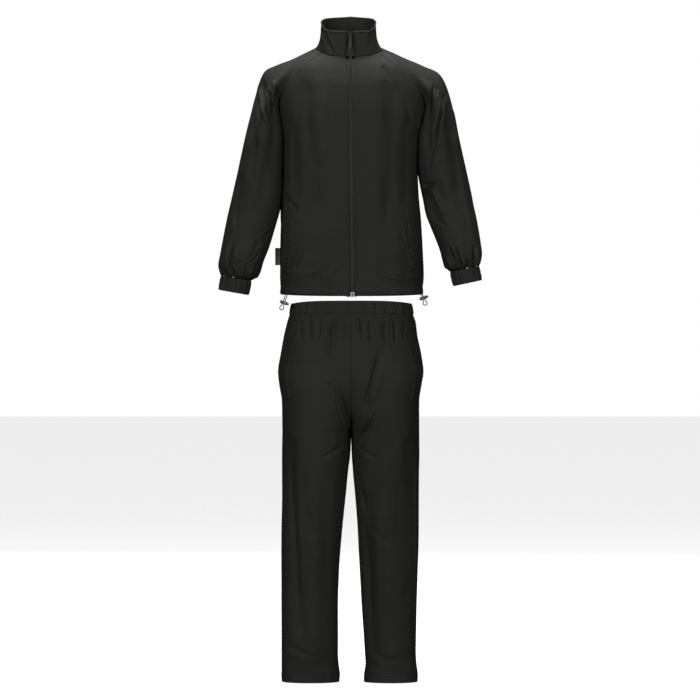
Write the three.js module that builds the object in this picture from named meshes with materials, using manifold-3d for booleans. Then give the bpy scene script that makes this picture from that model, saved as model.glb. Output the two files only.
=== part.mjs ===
// Tracksuit: a zipped raglan jacket with a stand collar, above straight elastic-waist trousers.
// Both are worn shapes with nobody in them, hollow and open at neck, hem, cuffs, waist and legs.
// Millimetres, +Z up, front towards -Y, wearer's right towards -X.
// The origin is the centre of the neck base, where the shoulders carry the jacket.
import * as THREE from 'three';
import Module from 'manifold-3d';

const wasm = await Module();
wasm.setup();

// Cloth and seams
const CLOTH = 1.5;
const DOUBLE_CLOTH = 2.2;
const ELASTIC = 2.8;
const SEAM_GAP = 0.3;
const LAID_ON = 0.8;
const STRIP_COLUMNS = 4;
const DEGREE = Math.PI / 180;

// Jacket body: how far it reaches to each side, to the front and to the back, at each height.
// Above the armpit the rows go on under the sleeves as the slope of the shoulders.
const BODY_ROUNDNESS = 2.3;
const BODY = [
  { z: -667, left: 193, right: 195, front: 124, back: 126 },
  { z: -615, left: 195, right: 200, front: 127, back: 129 },
  { z: -560, left: 195, right: 198, front: 130, back: 131 },
  { z: -467, left: 193, right: 193, front: 134, back: 133 },
  { z: -390, left: 190, right: 186, front: 137, back: 136 },
  { z: -330, left: 188, right: 184, front: 139, back: 138 },
  { z: -250, left: 189, right: 188, front: 140, back: 140 },
  { z: -210, left: 193, right: 195, front: 139, back: 140 },
  { z: -168, left: 201, right: 208, front: 136, back: 138 },
  { z: -100, left: 212, right: 214, front: 119, back: 128 },
  { z: -60, left: 213, right: 210, front: 99, back: 115 },
  { z: -38, left: 203, right: 196, front: 84, back: 104 },
  { z: -17, left: 158, right: 150, front: 62, back: 90 },
  { z: -3, left: 125, right: 120, front: 42, back: 79 },
  { z: 13, left: 95, right: 81, front: 14, back: 66 },
  { z: 22, left: 79, right: 65, front: 3, back: 58 },
];

// Height of the neck seam round the neck: -90 is the centre front, 0 the side, 90 the centre back
const NECK_SEAM = [
  { angle: -90, z: -17 },
  { angle: -75, z: -14.5 },
  { angle: -54, z: -3 },
  { angle: -25, z: 8 },
  { angle: 0, z: 13 },
  { angle: 54, z: 19 },
  { angle: 90, z: 21 },
];

// Raglan seams, from the neck down to the armpit: distance from the middle at each height
const RAGLAN_FRONT = [
  { z: -168, left: 201, right: 208 },
  { z: -150, left: 199, right: 205 },
  { z: -125, left: 188, right: 193 },
  { z: -91, left: 168, right: 170 },
  { z: -50, left: 135, right: 135 },
  { z: -3, left: 79, right: 71 },
];
const RAGLAN_BACK = [
  { z: -168, left: 201, right: 208 },
  { z: -148, left: 198, right: 204 },
  { z: -115, left: 182, right: 184 },
  { z: -75, left: 153, right: 151 },
  { z: -30, left: 112, right: 104 },
  { z: 19, left: 58, right: 50 },
];
const ARMPIT = -168;
const EVEN_BELOW = -195;

// How the panels are divided into faces
const NECK_FRONT_STEPS = 5;
const NECK_SIDE_STEPS = 4;
const NECK_BACK_STEPS = 6;
const RAGLAN_STEPS = 8;
const BODY_ROWS = 12;
const ARM_ROWS = 8;
const SHOULDER_ROWS = 6;

// Sleeves: inner and outer edge, depth from the middle, how far forward, and the tilt of each ring
const SLEEVE_LEFT = [
  { z: -622, inner: 273, outer: 357, depth: 42, forward: 28, tilt: 10 },
  { z: -614, inner: 262, outer: 361, depth: 50, forward: 28, tilt: 10 },
  { z: -597, inner: 251, outer: 365, depth: 60, forward: 27, tilt: 9 },
  { z: -566, inner: 239, outer: 360, depth: 66, forward: 25, tilt: 9 },
  { z: -533, inner: 225, outer: 354, depth: 70, forward: 22, tilt: 8 },
  { z: -467, inner: 205, outer: 341, depth: 75, forward: 16, tilt: 7 },
  { z: -418, inner: 198, outer: 330, depth: 78, forward: 12, tilt: 6 },
  { z: -368, inner: 194, outer: 319, depth: 82, forward: 8, tilt: 5 },
  { z: -302, inner: 193, outer: 305, depth: 86, forward: 4, tilt: 4 },
  { z: -236, inner: 195, outer: 291, depth: 90, forward: 2, tilt: 2 },
  { z: -187, inner: 201, outer: 280, depth: 92, forward: 0, tilt: 0 },
];
const SLEEVE_RIGHT = [
  { z: -597, inner: 271, outer: 351, depth: 42, forward: 42, tilt: 12 },
  { z: -589, inner: 262, outer: 356, depth: 51, forward: 41, tilt: 12 },
  { z: -566, inner: 252, outer: 360, depth: 62, forward: 38, tilt: 11 },
  { z: -533, inner: 241, outer: 356, depth: 68, forward: 33, tilt: 10 },
  { z: -467, inner: 216, outer: 345, depth: 74, forward: 22, tilt: 9 },
  { z: -434, inner: 204, outer: 338, depth: 76, forward: 17, tilt: 8 },
  { z: -401, inner: 197, outer: 332, depth: 78, forward: 13, tilt: 6 },
  { z: -335, inner: 188, outer: 318, depth: 84, forward: 7, tilt: 5 },
  { z: -302, inner: 188, outer: 311, depth: 87, forward: 5, tilt: 4 },
  { z: -236, inner: 195, outer: 297, depth: 91, forward: 2, tilt: 2 },
  { z: -187, inner: 207, outer: 287, depth: 93, forward: 0, tilt: 0 },
];
// How full the cloth runs over the shoulder, at the underarm and at the outermost line
const UNDERARM_FULLNESS = 0.36;
const SHOULDER_FULLNESS = 0.63;
const NECK_FULLNESS = 0.24;
const ARM_CLIMB = 30;
const ARM_ROW_BUNCHING = 0.8;
const CUFF_FORWARD = -0.12;
// How much the sleeve turns out at the armpit, by steps along the seam away from it
const ARMPIT_TURN = [1, 0.85, 0.5, 0.2];

// Cuffs
const CUFF_HEIGHT = 37;
const CUFF_GATHERS = 16;
const GATHER_POINTS = 3;
const CUFF_GATHER_DEPTH = 1.3;
const CUFF_ROWS = 1;
const CUFF_RIM_GATHER = 0.6;

// Hem casing and its dip towards the zip
const HEM_CASING = 26;
const HEM_BOTTOM = -667;
const HEM_SIDE_LIFT = 5;
const HEM_ZIP_DIP = 6;
const HEM_DIP_WIDTH = 26;

// Collar: half widths, depths and height of its top edge
const COLLAR_TOP = [
  { angle: -90, z: 51, left: 80, right: 66, depth: 64 },
  { angle: -45, z: 57, left: 81, right: 67, depth: 62 },
  { angle: -12, z: 77, left: 82, right: 68, depth: 58 },
  { angle: 0, z: 84, left: 82, right: 68, depth: 58 },
  { angle: 35, z: 96, left: 82, right: 68, depth: 60 },
  { angle: 90, z: 103, left: 80, right: 66, depth: 60 },
];
const COLLAR_ROWS = 4;
const COLLAR_BOW = 2.5;
const COLLAR_WIDTH = 75;
const COLLAR_DEPTH = 60;
const COLLAR_EDGE_LEFT = 15;
const COLLAR_EDGE_RIGHT = 11;
const GUARD_OVERLAP = 8;
const GUARD_CURVE = 2.6;
const GUARD_COLUMNS = 4;
const GUARD_SINK = 2.8;
const GUARD_DROP = 1;

// Zip
const ZIP_OPENING = 7;
const ZIP_LEAN_TOP = -2;
const ZIP_LEAN_HEM = 4;
const ZIP_FOOT = -670;
const ZIP_TAPE_WIDTH = 13;
const ZIP_TAPE = 1;
const ZIP_CHAIN_WIDTH = 5;
const ZIP_CHAIN_SINK = 0.9;
const ZIP_CHAIN = 1.4;
const ZIP_TAPE_SINK = 2.7;
const ZIP_TAPE_DROP = 3;
const ZIP_BOX = { width: 11, height: 14, thickness: 3.4, top: -662, sink: 1.8, corner: 1.5 };
const SLIDER = { width: 9, height: 12, thickness: 2.4, taper: 1.6, rise: 33, clear: 0.3 };
const BRIDGE = { width: 3, foot: 4, opening: 2.6, thickness: 1.2 };
const PULL = { width: 8, length: 28, thickness: 1.6, slot: 4.4, rail: 7, bar: 1.6, corner: 1.6 };

// Pocket welts of the jacket, placed by their upper and lower end
const WELT = { topX: 158, topZ: -434, lowX: 178, lowZ: -594, width: 20, steps: 8, thickness: 1.4 };

// Flag label in the wearer's right side seam
const LABEL = { top: -536, height: 49, width: 21, thickness: 1 };

// Drawcord loops at the hem: each is a list of chosen points along the cord
const CORD = { diameter: 2.6, sides: 8, steps: 26 };
const CORD_LOOPS = {
  left: [
    [-179.1, -53.3, -664],
    [-180.4, -56.4, -671],
    [-182.4, -59, -678],
    [-184, -60, -683.6],
    [-186.1, -60, -689.3],
    [-188.1, -60, -694.9],
    [-190.4, -60, -701],
    [-190.4, -60, -707],
    [-187, -60, -710.5],
    [-183.8, -60, -708],
    [-183.2, -60, -702],
    [-184, -60, -696.4],
    [-181.9, -60, -690.8],
    [-179.9, -60, -685.1],
    [-177.2, -60.4, -678],
    [-175, -60.3, -671],
    [-174.2, -59.7, -664],
  ],
  right: [
    [188.6, -36.6, -663],
    [190.6, -36, -667],
    [193.9, -33, -672.1],
    [196, -32, -677.8],
    [198, -32, -683.4],
    [200.2, -32, -688.6],
    [203.4, -32, -690.8],
    [205.6, -32, -687.6],
    [202.1, -32, -681.9],
    [200, -32, -676.3],
    [198, -31.6, -670.6],
    [194.8, -29.6, -666.4],
    [191, -28.1, -663],
  ],
};
const CORD_LOCK = {
  length: 21,
  height: 9,
  depth: 10,
  corner: 2.5,
  slotWidth: 8.8,
  slotDepth: 3.6,
  button: 4,
  step: 2.4,
};
const SLOT_ROUNDING = 0.49;
const CORD_LOCK_LEFT = { x: -184, y: -60, z: -690, turn: -20 };
const CORD_LOCK_RIGHT = { x: 198, y: -32, z: -677, turn: 20 };

// Trousers: reach to each side, to the front and to the back, and the middle of the depth.
// Below the crotch the inner columns give the inner edge of each leg.
const TROUSER_ROUNDNESS = 2.15;
const CROTCH = -1045;
const CROTCH_CURVE_TOP = -862;
const HIP = [
  { z: -1732, left: 191, right: 184, innerLeft: 32, innerRight: 35, front: 62, back: 64, middle: 16 },
  { z: -1706, left: 192, right: 184, innerLeft: 31, innerRight: 37, front: 62, back: 64, middle: 16 },
  { z: -1683, left: 192, right: 181, innerLeft: 34, innerRight: 40, front: 63, back: 65, middle: 16 },
  { z: -1650, left: 192, right: 179, innerLeft: 36, innerRight: 38, front: 66, back: 67, middle: 15 },
  { z: -1540, left: 192, right: 181, innerLeft: 36, innerRight: 31, front: 73, back: 73, middle: 13 },
  { z: -1430, left: 192, right: 184, innerLeft: 33, innerRight: 25, front: 80, back: 80, middle: 11 },
  { z: -1320, left: 192, right: 187, innerLeft: 25, innerRight: 19, front: 88, back: 89, middle: 9 },
  { z: -1210, left: 190, right: 187, innerLeft: 14, innerRight: 11, front: 98, back: 101, middle: 7 },
  { z: -1155, left: 190, right: 187, innerLeft: 9, innerRight: 6, front: 104, back: 110, middle: 6 },
  { z: -1100, left: 190, right: 188, innerLeft: 2, innerRight: 2, front: 110, back: 119, middle: 5 },
  { z: -1045, left: 189, right: 188, innerLeft: 0, innerRight: 0, front: 116, back: 128, middle: 4 },
  { z: -963, left: 190, right: 188, innerLeft: 0, innerRight: 0, front: 122, back: 138, middle: 2 },
  { z: -912, left: 198, right: 195, innerLeft: 0, innerRight: 0, front: 124, back: 141, middle: 0 },
  { z: -880, left: 201, right: 200, innerLeft: 0, innerRight: 0, front: 123, back: 141, middle: 0 },
  { z: -825, left: 193, right: 193, innerLeft: 0, innerRight: 0, front: 119, back: 136, middle: 0 },
  { z: -783, left: 186, right: 184, innerLeft: 0, innerRight: 0, front: 114, back: 129, middle: 0 },
  { z: -742, left: 176, right: 178, innerLeft: 0, innerRight: 0, front: 108, back: 121, middle: 0 },
  { z: -721, left: 169, right: 171, innerLeft: 0, innerRight: 0, front: 104, back: 116, middle: 0 },
  { z: -693, left: 163, right: 166, innerLeft: 0, innerRight: 0, front: 102, back: 113, middle: 0 },
  { z: -685, left: 160, right: 163, innerLeft: 0, innerRight: 0, front: 101, back: 112, middle: 0 },
];
const PANEL_STEPS = 10;
const HIP_ROWS = 8;
const LEG_ROWS = 10;
const GATHER_DEPTH = 2.2;
const GATHER_LENGTH = 95;
// Share of a panel's width over which folds and gathers fade out at its seams
const FOLD_EDGE = 0.25;
const GATHER_EDGE = 0.17;

// Waistband
const WAIST_TOP = -685;
const WAIST_SEAM = -721;
const WAIST_SIDE_DROP = 7;
const WAIST_GATHERS = 30;
const WAIST_GATHER_DEPTH = 1.6;
const WAIST_ROWS = 1;
const WAIST_FLATNESS = 1.4;

// Leg hems
const LEG_HEM_SEAM = -1706;
const LEG_HEM_BOTTOM = -1732;

// Side pocket edges of the trousers, by distance in from the side seam at each height
const POCKET_EDGE = {
  top: -736,
  low: -955,
  topIn: 44,
  lowIn: 20,
  curve: 1.6,
  width: 9,
  steps: 9,
  thickness: 1.2,
};

// Large soft folds. Each runs from one place to another as seen from the front or the back.
// spread is how wide it is and rise how far it stands out; a trough has a negative rise.
const BODY_FRONT_FOLDS = [
  { x1: -112, z1: -90, x2: -122, z2: -470, spread: 19, rise: -4.5 },
  { x1: -72, z1: -120, x2: -80, z2: -600, spread: 20, rise: 3.5 },
  { x1: -158, z1: -190, x2: -150, z2: -420, spread: 17, rise: -5 },
  { x1: -110, z1: -500, x2: -160, z2: -625, spread: 18, rise: 3.5 },
  { x1: 104, z1: -85, x2: 112, z2: -430, spread: 18, rise: -4.5 },
  { x1: 62, z1: -140, x2: 78, z2: -600, spread: 20, rise: 3 },
  { x1: 152, z1: -190, x2: 150, z2: -430, spread: 17, rise: -4.5 },
  { x1: 120, z1: -480, x2: 128, z2: -640, spread: 20, rise: 3.5 },
];
const BODY_BACK_FOLDS = [
  { x1: -150, z1: -170, x2: -120, z2: -560, spread: 22, rise: -5 },
  { x1: -72, z1: -160, x2: -84, z2: -620, spread: 26, rise: 5 },
  { x1: 0, z1: -100, x2: 4, z2: -600, spread: 24, rise: -4.5 },
  { x1: 66, z1: -150, x2: 84, z2: -610, spread: 26, rise: 5 },
  { x1: 146, z1: -170, x2: 124, z2: -540, spread: 22, rise: -5 },
];
// Sleeve folds by angle round the arm: 0 faces the body, 90 is the front and 180 the outside
const SLEEVE_LEFT_FOLDS = [
  { angle: 62, top: -100, low: -330, spread: 15, rise: -6 },
  { angle: 96, top: -70, low: -420, spread: 16, rise: 5 },
  { angle: 128, top: -75, low: -300, spread: 13, rise: -4.5 },
  { angle: 250, top: -80, low: -360, spread: 17, rise: -6 },
  { angle: 290, top: -170, low: -520, spread: 18, rise: 5 },
  { angle: 120, top: -500, low: -612, spread: 14, rise: -4 },
  { angle: 75, top: -520, low: -612, spread: 14, rise: 4 },
  { angle: 240, top: -500, low: -612, spread: 16, rise: -4 },
];
const SLEEVE_RIGHT_FOLDS = [
  { angle: 60, top: -100, low: -280, spread: 14, rise: -6 },
  { angle: 92, top: -80, low: -380, spread: 16, rise: 5 },
  { angle: 130, top: -90, low: -340, spread: 13, rise: -4.5 },
  { angle: 60, top: -360, low: -450, spread: 18, rise: -6 },
  { angle: 252, top: -80, low: -380, spread: 17, rise: -6 },
  { angle: 285, top: -180, low: -500, spread: 18, rise: 5 },
  { angle: 110, top: -480, low: -588, spread: 14, rise: -4.5 },
  { angle: 235, top: -490, low: -588, spread: 16, rise: -4 },
];
const TROUSER_FRONT_FOLDS = [
  { x1: -14, z1: -880, x2: -60, z2: -790, spread: 18, rise: 4 },
  { x1: 82, z1: -815, x2: 30, z2: -985, spread: 17, rise: -6 },
  { x1: -28, z1: -885, x2: -6, z2: -1035, spread: 15, rise: 4 },
  { x1: 60, z1: -990, x2: 14, z2: -1065, spread: 15, rise: 4 },
  { x1: -165, z1: -1060, x2: -140, z2: -1600, spread: 17, rise: -5 },
  { x1: -100, z1: -1100, x2: -104, z2: -1680, spread: 24, rise: 5 },
  { x1: 44, z1: -1210, x2: 62, z2: -1660, spread: 16, rise: -5 },
  { x1: 104, z1: -1100, x2: 112, z2: -1680, spread: 24, rise: 5 },
  { x1: 160, z1: -1060, x2: 158, z2: -1500, spread: 15, rise: -3.5 },
];
const TROUSER_BACK_FOLDS = [
  { x1: -110, z1: -1010, x2: -20, z2: -1085, spread: 17, rise: -6 },
  { x1: 110, z1: -1015, x2: 20, z2: -1085, spread: 17, rise: -6 },
  { x1: -95, z1: -1090, x2: -106, z2: -1680, spread: 24, rise: 5 },
  { x1: 98, z1: -1090, x2: 110, z2: -1680, spread: 24, rise: 5 },
  { x1: -150, z1: -1250, x2: -75, z2: -1330, spread: 18, rise: -5 },
  { x1: 150, z1: -1260, x2: 75, z2: -1340, spread: 18, rise: -5 },
  { x1: -120, z1: -830, x2: -130, z2: -980, spread: 20, rise: 4 },
  { x1: 120, z1: -830, x2: 130, z2: -980, spread: 20, rise: 4 },
];

const CLOTH_COLOUR = 0x252623;
const TRIM_COLOUR = 0x1f201e;
const CHAIN_COLOUR = 0x1b1c1b;
const METAL_COLOUR = 0x8f918f;
const LOCK_COLOUR = 0x3d3f3d;

// Numbers and tables

function clamp(value, low, high) {
  return Math.min(high, Math.max(low, value));
}

function lerp(from, to, share) {
  return from + (to - from) * share;
}

function smooth(value) {
  const share = clamp(value, 0, 1);
  return share * share * (3 - 2 * share);
}

// Slope of a table's column at one row, held flat at a turn so that no value overshoots
function columnSlope(rows, key, column, index) {
  if (index === 0 || index === rows.length - 1) {
    return secant(rows, key, column, Math.max(index - 1, 0));
  }
  const before = secant(rows, key, column, index - 1);
  const after = secant(rows, key, column, index);
  if (before * after <= 0) {
    return 0;
  }
  return (2 * before * after) / (before + after);
}

function secant(rows, key, column, index) {
  const rise = rows[index + 1][column] - rows[index][column];
  return rise / (rows[index + 1][key] - rows[index][key]);
}

// Value of a column where the key column has the given value
function read(rows, key, at, column) {
  const place = clamp(at, rows[0][key], rows[rows.length - 1][key]);
  let index = 0;
  while (index < rows.length - 2 && rows[index + 1][key] < place) {
    index += 1;
  }
  const step = rows[index + 1][key] - rows[index][key];
  const t = (place - rows[index][key]) / step;
  const from = rows[index][column];
  const to = rows[index + 1][column];
  const slopeFrom = columnSlope(rows, key, column, index) * step;
  const slopeTo = columnSlope(rows, key, column, index + 1) * step;
  const t2 = t * t;
  const t3 = t2 * t;
  return (2 * t3 - 3 * t2 + 1) * from + (t3 - 2 * t2 + t) * slopeFrom
    + (3 * t2 - 2 * t3) * to + (t3 - t2) * slopeTo;
}

// Folds

// How far a straight fold lifts the cloth at a place seen from the front or back
function foldRise(fold, x, z) {
  const alongX = fold.x2 - fold.x1;
  const alongZ = fold.z2 - fold.z1;
  const length = Math.hypot(alongX, alongZ);
  const along = ((x - fold.x1) * alongX + (z - fold.z1) * alongZ) / length;
  const across = ((x - fold.x1) * alongZ - (z - fold.z1) * alongX) / length;
  const taper = smooth((along + fold.spread) / (2.5 * fold.spread))
    * smooth((length + fold.spread - along) / (2.5 * fold.spread));
  return fold.rise * taper * Math.exp(-((across / fold.spread) ** 2));
}

function foldsAt(folds, x, z) {
  return folds.reduce((sum, fold) => sum + foldRise(fold, x, z), 0);
}

function sleeveFoldsAt(folds, angle, z) {
  let sum = 0;
  for (const fold of folds) {
    const turn = Math.abs(((angle - fold.angle + 540) % 360) - 180);
    const ends = smooth((fold.top + 30 - z) / 60) * smooth((z - fold.low + 30) / 60);
    sum += fold.rise * ends * Math.exp(-((turn / fold.spread) ** 2));
  }
  return sum;
}

// Walls of cloth

function surfaceNormal(pointAt, u, v, lowU, highU, outwards) {
  const step = 0.002;
  const rise = 0.5;
  const alongU = pointAt(Math.min(u + step, highU), v).sub(pointAt(Math.max(u - step, lowU), v));
  const alongV = pointAt(u, v + rise).sub(pointAt(u, v - rise));
  const normal = alongU.cross(alongV).normalize();
  return normal.dot(outwards) < 0 ? normal.negate() : normal;
}

function gridOf(columns, rows, cellAt) {
  const grid = [];
  for (let i = 0; i <= columns; i += 1) {
    const line = [];
    for (let j = 0; j <= rows; j += 1) {
      line.push(cellAt(i, j));
    }
    grid.push(line);
  }
  return grid;
}

// Closed wall between a grid of outer points and the same points moved in by the thickness
function wallGeometry(grid, thickness, closedRound = false) {
  const columns = grid.length;
  const rows = grid[0].length;
  const positions = [];
  for (const line of grid) {
    for (const cell of line) {
      positions.push(cell.point.x, cell.point.y, cell.point.z);
    }
  }
  for (const line of grid) {
    for (const cell of line) {
      const inner = cell.point.clone().addScaledVector(cell.normal, -thickness);
      positions.push(inner.x, inner.y, inner.z);
    }
  }
  const layer = columns * rows;
  const at = (i, j) => (i % columns) * rows + j;
  const faces = [];
  const quad = (a, b, c, d) => faces.push(a, b, c, a, c, d);
  const bothSides = (a, b, c) => faces.push(a, b, c, layer + a, layer + c, layer + b);
  const spanI = closedRound ? columns : columns - 1;
  for (let i = 0; i < spanI; i += 1) {
    for (let j = 0; j < rows - 1; j += 1) {
      const a = at(i, j);
      const b = at(i + 1, j);
      const c = at(i + 1, j + 1);
      const d = at(i, j + 1);
      if (cellDistance(grid, i, j, i + 1, j + 1) <= cellDistance(grid, i + 1, j, i, j + 1)) {
        bothSides(a, b, c);
        bothSides(a, c, d);
      } else {
        bothSides(a, b, d);
        bothSides(b, c, d);
      }
    }
    quad(at(i, 0), layer + at(i, 0), layer + at(i + 1, 0), at(i + 1, 0));
    quad(at(i, rows - 1), at(i + 1, rows - 1), layer + at(i + 1, rows - 1), layer + at(i, rows - 1));
  }
  if (!closedRound) {
    for (let j = 0; j < rows - 1; j += 1) {
      quad(at(0, j), at(0, j + 1), layer + at(0, j + 1), layer + at(0, j));
      quad(at(columns - 1, j), layer + at(columns - 1, j), layer + at(columns - 1, j + 1),
        at(columns - 1, j + 1));
    }
  }
  return closedGeometry(positions, faces);
}

function cellDistance(grid, i1, j1, i2, j2) {
  const count = grid.length;
  return grid[i1 % count][j1].point.distanceTo(grid[i2 % count][j2].point);
}

// Makes a geometry with its faces pointing out
function closedGeometry(positions, faces) {
  let volume = 0;
  for (let f = 0; f < faces.length; f += 3) {
    const a = new THREE.Vector3().fromArray(positions, faces[f] * 3);
    const b = new THREE.Vector3().fromArray(positions, faces[f + 1] * 3);
    const c = new THREE.Vector3().fromArray(positions, faces[f + 2] * 3);
    volume += a.dot(b.cross(c));
  }
  const index = volume > 0 ? faces : faces.slice().reverse();
  const geometry = new THREE.BufferGeometry();
  geometry.setAttribute('position', new THREE.Float32BufferAttribute(positions, 3));
  geometry.setIndex(index);
  return geometry;
}

// Moves that take an edge of a panel back from its seam, square to the seam and along the cloth
function trimEdge(cells, middle, distance) {
  return cells.map((cell, index) => {
    const before = cells[Math.max(index - 1, 0)].point;
    const after = cells[Math.min(index + 1, cells.length - 1)].point;
    const along = after.clone().sub(before).normalize();
    const back = along.cross(cell.normal).normalize();
    const inwards = middle.clone().sub(cell.point);
    return back.multiplyScalar(back.dot(inwards) < 0 ? -distance : distance);
  });
}

function gridMiddle(grid) {
  const line = grid[Math.floor(grid.length / 2)];
  return line[Math.floor(line.length / 2)].point.clone();
}

// Trims the chosen edges of a panel by half the seam gap
function trimPanel(grid, edges) {
  const middle = gridMiddle(grid);
  const last = grid.length - 1;
  const top = grid[0].length - 1;
  const lines = {
    first: grid[0],
    last: grid[last],
    bottom: grid.map((line) => line[0]),
    top: grid.map((line) => line[top]),
  };
  const moves = [];
  for (const edge of edges) {
    const shifts = trimEdge(lines[edge], middle, SEAM_GAP / 2);
    lines[edge].forEach((cell, index) => moves.push({ cell, shift: shifts[index] }));
  }
  for (const move of moves) {
    move.cell.point.add(move.shift);
  }
  return grid;
}

// Place on a panel between its grid lines, moved out from the cloth
function onPanel(grid, u, v, out) {
  const i = clamp(Math.floor(u), 0, grid.length - 2);
  const j = clamp(Math.floor(v), 0, grid[0].length - 2);
  const shareU = u - i;
  const shareV = v - j;
  const mix = (key) => {
    const low = grid[i][j][key].clone().lerp(grid[i + 1][j][key], shareU);
    const high = grid[i][j + 1][key].clone().lerp(grid[i + 1][j + 1][key], shareU);
    return low.lerp(high, shareV);
  };
  const normal = mix('normal').normalize();
  return { point: mix('point').addScaledVector(normal, out), normal };
}

// Where a panel has the given place as seen from the front, found in ever smaller steps
function findOnPanel(grid, x, z) {
  const lastU = grid.length - 1;
  const lastV = grid[0].length - 1;
  let best = { distance: Infinity, u: lastU / 2, v: lastV / 2 };
  let reach = Math.max(lastU, lastV) / 2;
  while (reach > 0.01) {
    const { u, v } = best;
    for (let i = -4; i <= 4; i += 1) {
      for (let j = -4; j <= 4; j += 1) {
        const tryU = clamp(u + (i * reach) / 4, 0, lastU);
        const tryV = clamp(v + (j * reach) / 4, 0, lastV);
        const spot = onPanel(grid, tryU, tryV, 0).point;
        const distance = Math.hypot(spot.x - x, spot.z - z);
        if (distance < best.distance) {
          best = { distance, u: tryU, v: tryV };
        }
      }
    }
    reach *= 0.5;
  }
  return best;
}

// Meshes

function material(colour, roughness, metalness = 0) {
  return new THREE.MeshStandardMaterial({ color: colour, roughness, metalness });
}

function piece(name, geometry, colour = CLOTH_COLOUR, roughness = 0.8, metalness = 0) {
  const mesh = new THREE.Mesh(geometry, material(colour, roughness, metalness));
  mesh.name = name;
  return mesh;
}

function toSolid(geometry) {
  const mesh = new wasm.Mesh({
    numProp: 3,
    vertProperties: new Float32Array(geometry.attributes.position.array),
    triVerts: new Uint32Array(geometry.index.array),
  });
  mesh.merge();
  return new wasm.Manifold(mesh);
}

function fromSolid(solid) {
  const mesh = solid.getMesh();
  const geometry = new THREE.BufferGeometry();
  geometry.setAttribute('position', new THREE.BufferAttribute(mesh.vertProperties, 3));
  geometry.setIndex(new THREE.BufferAttribute(mesh.triVerts, 1));
  return geometry;
}

// Box with rounded corners seen from one side, as an indexed closed geometry
function roundedBlock(width, height, depth, corner) {
  const x = width / 2;
  const y = height / 2;
  const shape = new THREE.Shape();
  shape.moveTo(-x + corner, -y);
  shape.lineTo(x - corner, -y);
  shape.absarc(x - corner, -y + corner, corner, -Math.PI / 2, 0);
  shape.absarc(x - corner, y - corner, corner, 0, Math.PI / 2);
  shape.absarc(-x + corner, y - corner, corner, Math.PI / 2, Math.PI);
  shape.absarc(-x + corner, -y + corner, corner, Math.PI, 1.5 * Math.PI);
  return extrudedSolid(shape, depth);
}

function extrudedSolid(shape, depth) {
  const geometry = new THREE.ExtrudeGeometry(shape, { depth, bevelEnabled: false, curveSegments: 3 });
  geometry.translate(0, 0, -depth / 2);
  return welded(geometry);
}

// Same triangles with shared corners
function welded(geometry) {
  const source = geometry.attributes.position;
  const known = new Map();
  const positions = [];
  const index = [];
  for (let i = 0; i < source.count; i += 1) {
    const corner = [source.getX(i), source.getY(i), source.getZ(i)];
    const key = corner.map((value) => Math.round(value * 1e4)).join(',');
    if (!known.has(key)) {
      known.set(key, positions.length / 3);
      positions.push(...corner);
    }
    index.push(known.get(key));
  }
  const order = geometry.index ? Array.from(geometry.index.array, (i) => index[i]) : index;
  const result = new THREE.BufferGeometry();
  result.setAttribute('position', new THREE.Float32BufferAttribute(positions, 3));
  const kept = [];
  for (let f = 0; f < order.length; f += 3) {
    const [a, b, c] = order.slice(f, f + 3);
    if (a !== b && b !== c && a !== c) {
      kept.push(a, b, c);
    }
  }
  result.setIndex(kept);
  return result;
}

// Jacket body

function bodyPoint(side, angle, z) {
  const half = read(BODY, 'z', z, side < 0 ? 'left' : 'right');
  const depth = read(BODY, 'z', z, angle < 0 ? 'front' : 'back');
  const power = 2 / BODY_ROUNDNESS;
  const x = side * half * Math.abs(Math.cos(angle)) ** power;
  const y = Math.sign(angle) * depth * Math.abs(Math.sin(angle)) ** power;
  return new THREE.Vector3(x, y, z);
}

function bodyNormal(side, angle, z) {
  const outwards = bodyPoint(side, angle, z);
  outwards.z = 0;
  return surfaceNormal((u, v) => bodyPoint(side, u, v), angle, z, -Math.PI / 2, Math.PI / 2, outwards);
}

function bodyAngle(side, x, z, facing) {
  const half = read(BODY, 'z', z, side < 0 ? 'left' : 'right');
  const share = clamp(Math.abs(x) / half, 0, 1);
  return facing * Math.acos(share ** (BODY_ROUNDNESS / 2));
}

function neckSeamPlace(angle) {
  return { angle, z: read(NECK_SEAM, 'angle', angle / DEGREE, 'z') };
}

// Places along a raglan seam at even distances, from the neck to the armpit
function raglanPlaces(side, facing) {
  const rows = facing < 0 ? RAGLAN_FRONT : RAGLAN_BACK;
  const column = side < 0 ? 'left' : 'right';
  const top = rows[rows.length - 1].z;
  const samples = 160;
  const fine = [];
  let length = 0;
  for (let i = 0; i <= samples; i += 1) {
    const z = lerp(top, ARMPIT, i / samples);
    const angle = bodyAngle(side, read(rows, 'z', z, column), z, facing);
    const point = bodyPoint(side, angle, z);
    length += i > 0 ? point.distanceTo(fine[i - 1].point) : 0;
    fine.push({ angle, z, point, length });
  }
  const places = [];
  for (let step = 0; step <= RAGLAN_STEPS; step += 1) {
    const wanted = (length * step) / RAGLAN_STEPS;
    const found = fine.find((place) => place.length >= wanted - 1e-6);
    places.push({ angle: found.angle, z: found.z });
  }
  places[RAGLAN_STEPS] = { angle: 0, z: ARMPIT };
  return places;
}

// Place where the neck seam meets a raglan seam
function neckCorner(side, facing) {
  return raglanPlaces(side, facing)[0];
}

// Angle of a panel's grid line at a height. The line is even below the armpit and then runs
// straight, as seen from the front, to its place on the seam at the top.
function panelAngle(side, facing, even, top, z) {
  if (z <= EVEN_BELOW || Math.abs(even) < 0.001) {
    return even;
  }
  const from = bodyPoint(side, even, EVEN_BELOW).x;
  const to = bodyPoint(side, top.angle, top.z).x;
  const x = lerp(from, to, (z - EVEN_BELOW) / (top.z - EVEN_BELOW));
  return bodyAngle(side, x, z, facing);
}

function zipX(z) {
  return lerp(ZIP_LEAN_HEM, ZIP_LEAN_TOP, (z - HEM_BOTTOM) / -HEM_BOTTOM);
}

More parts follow.
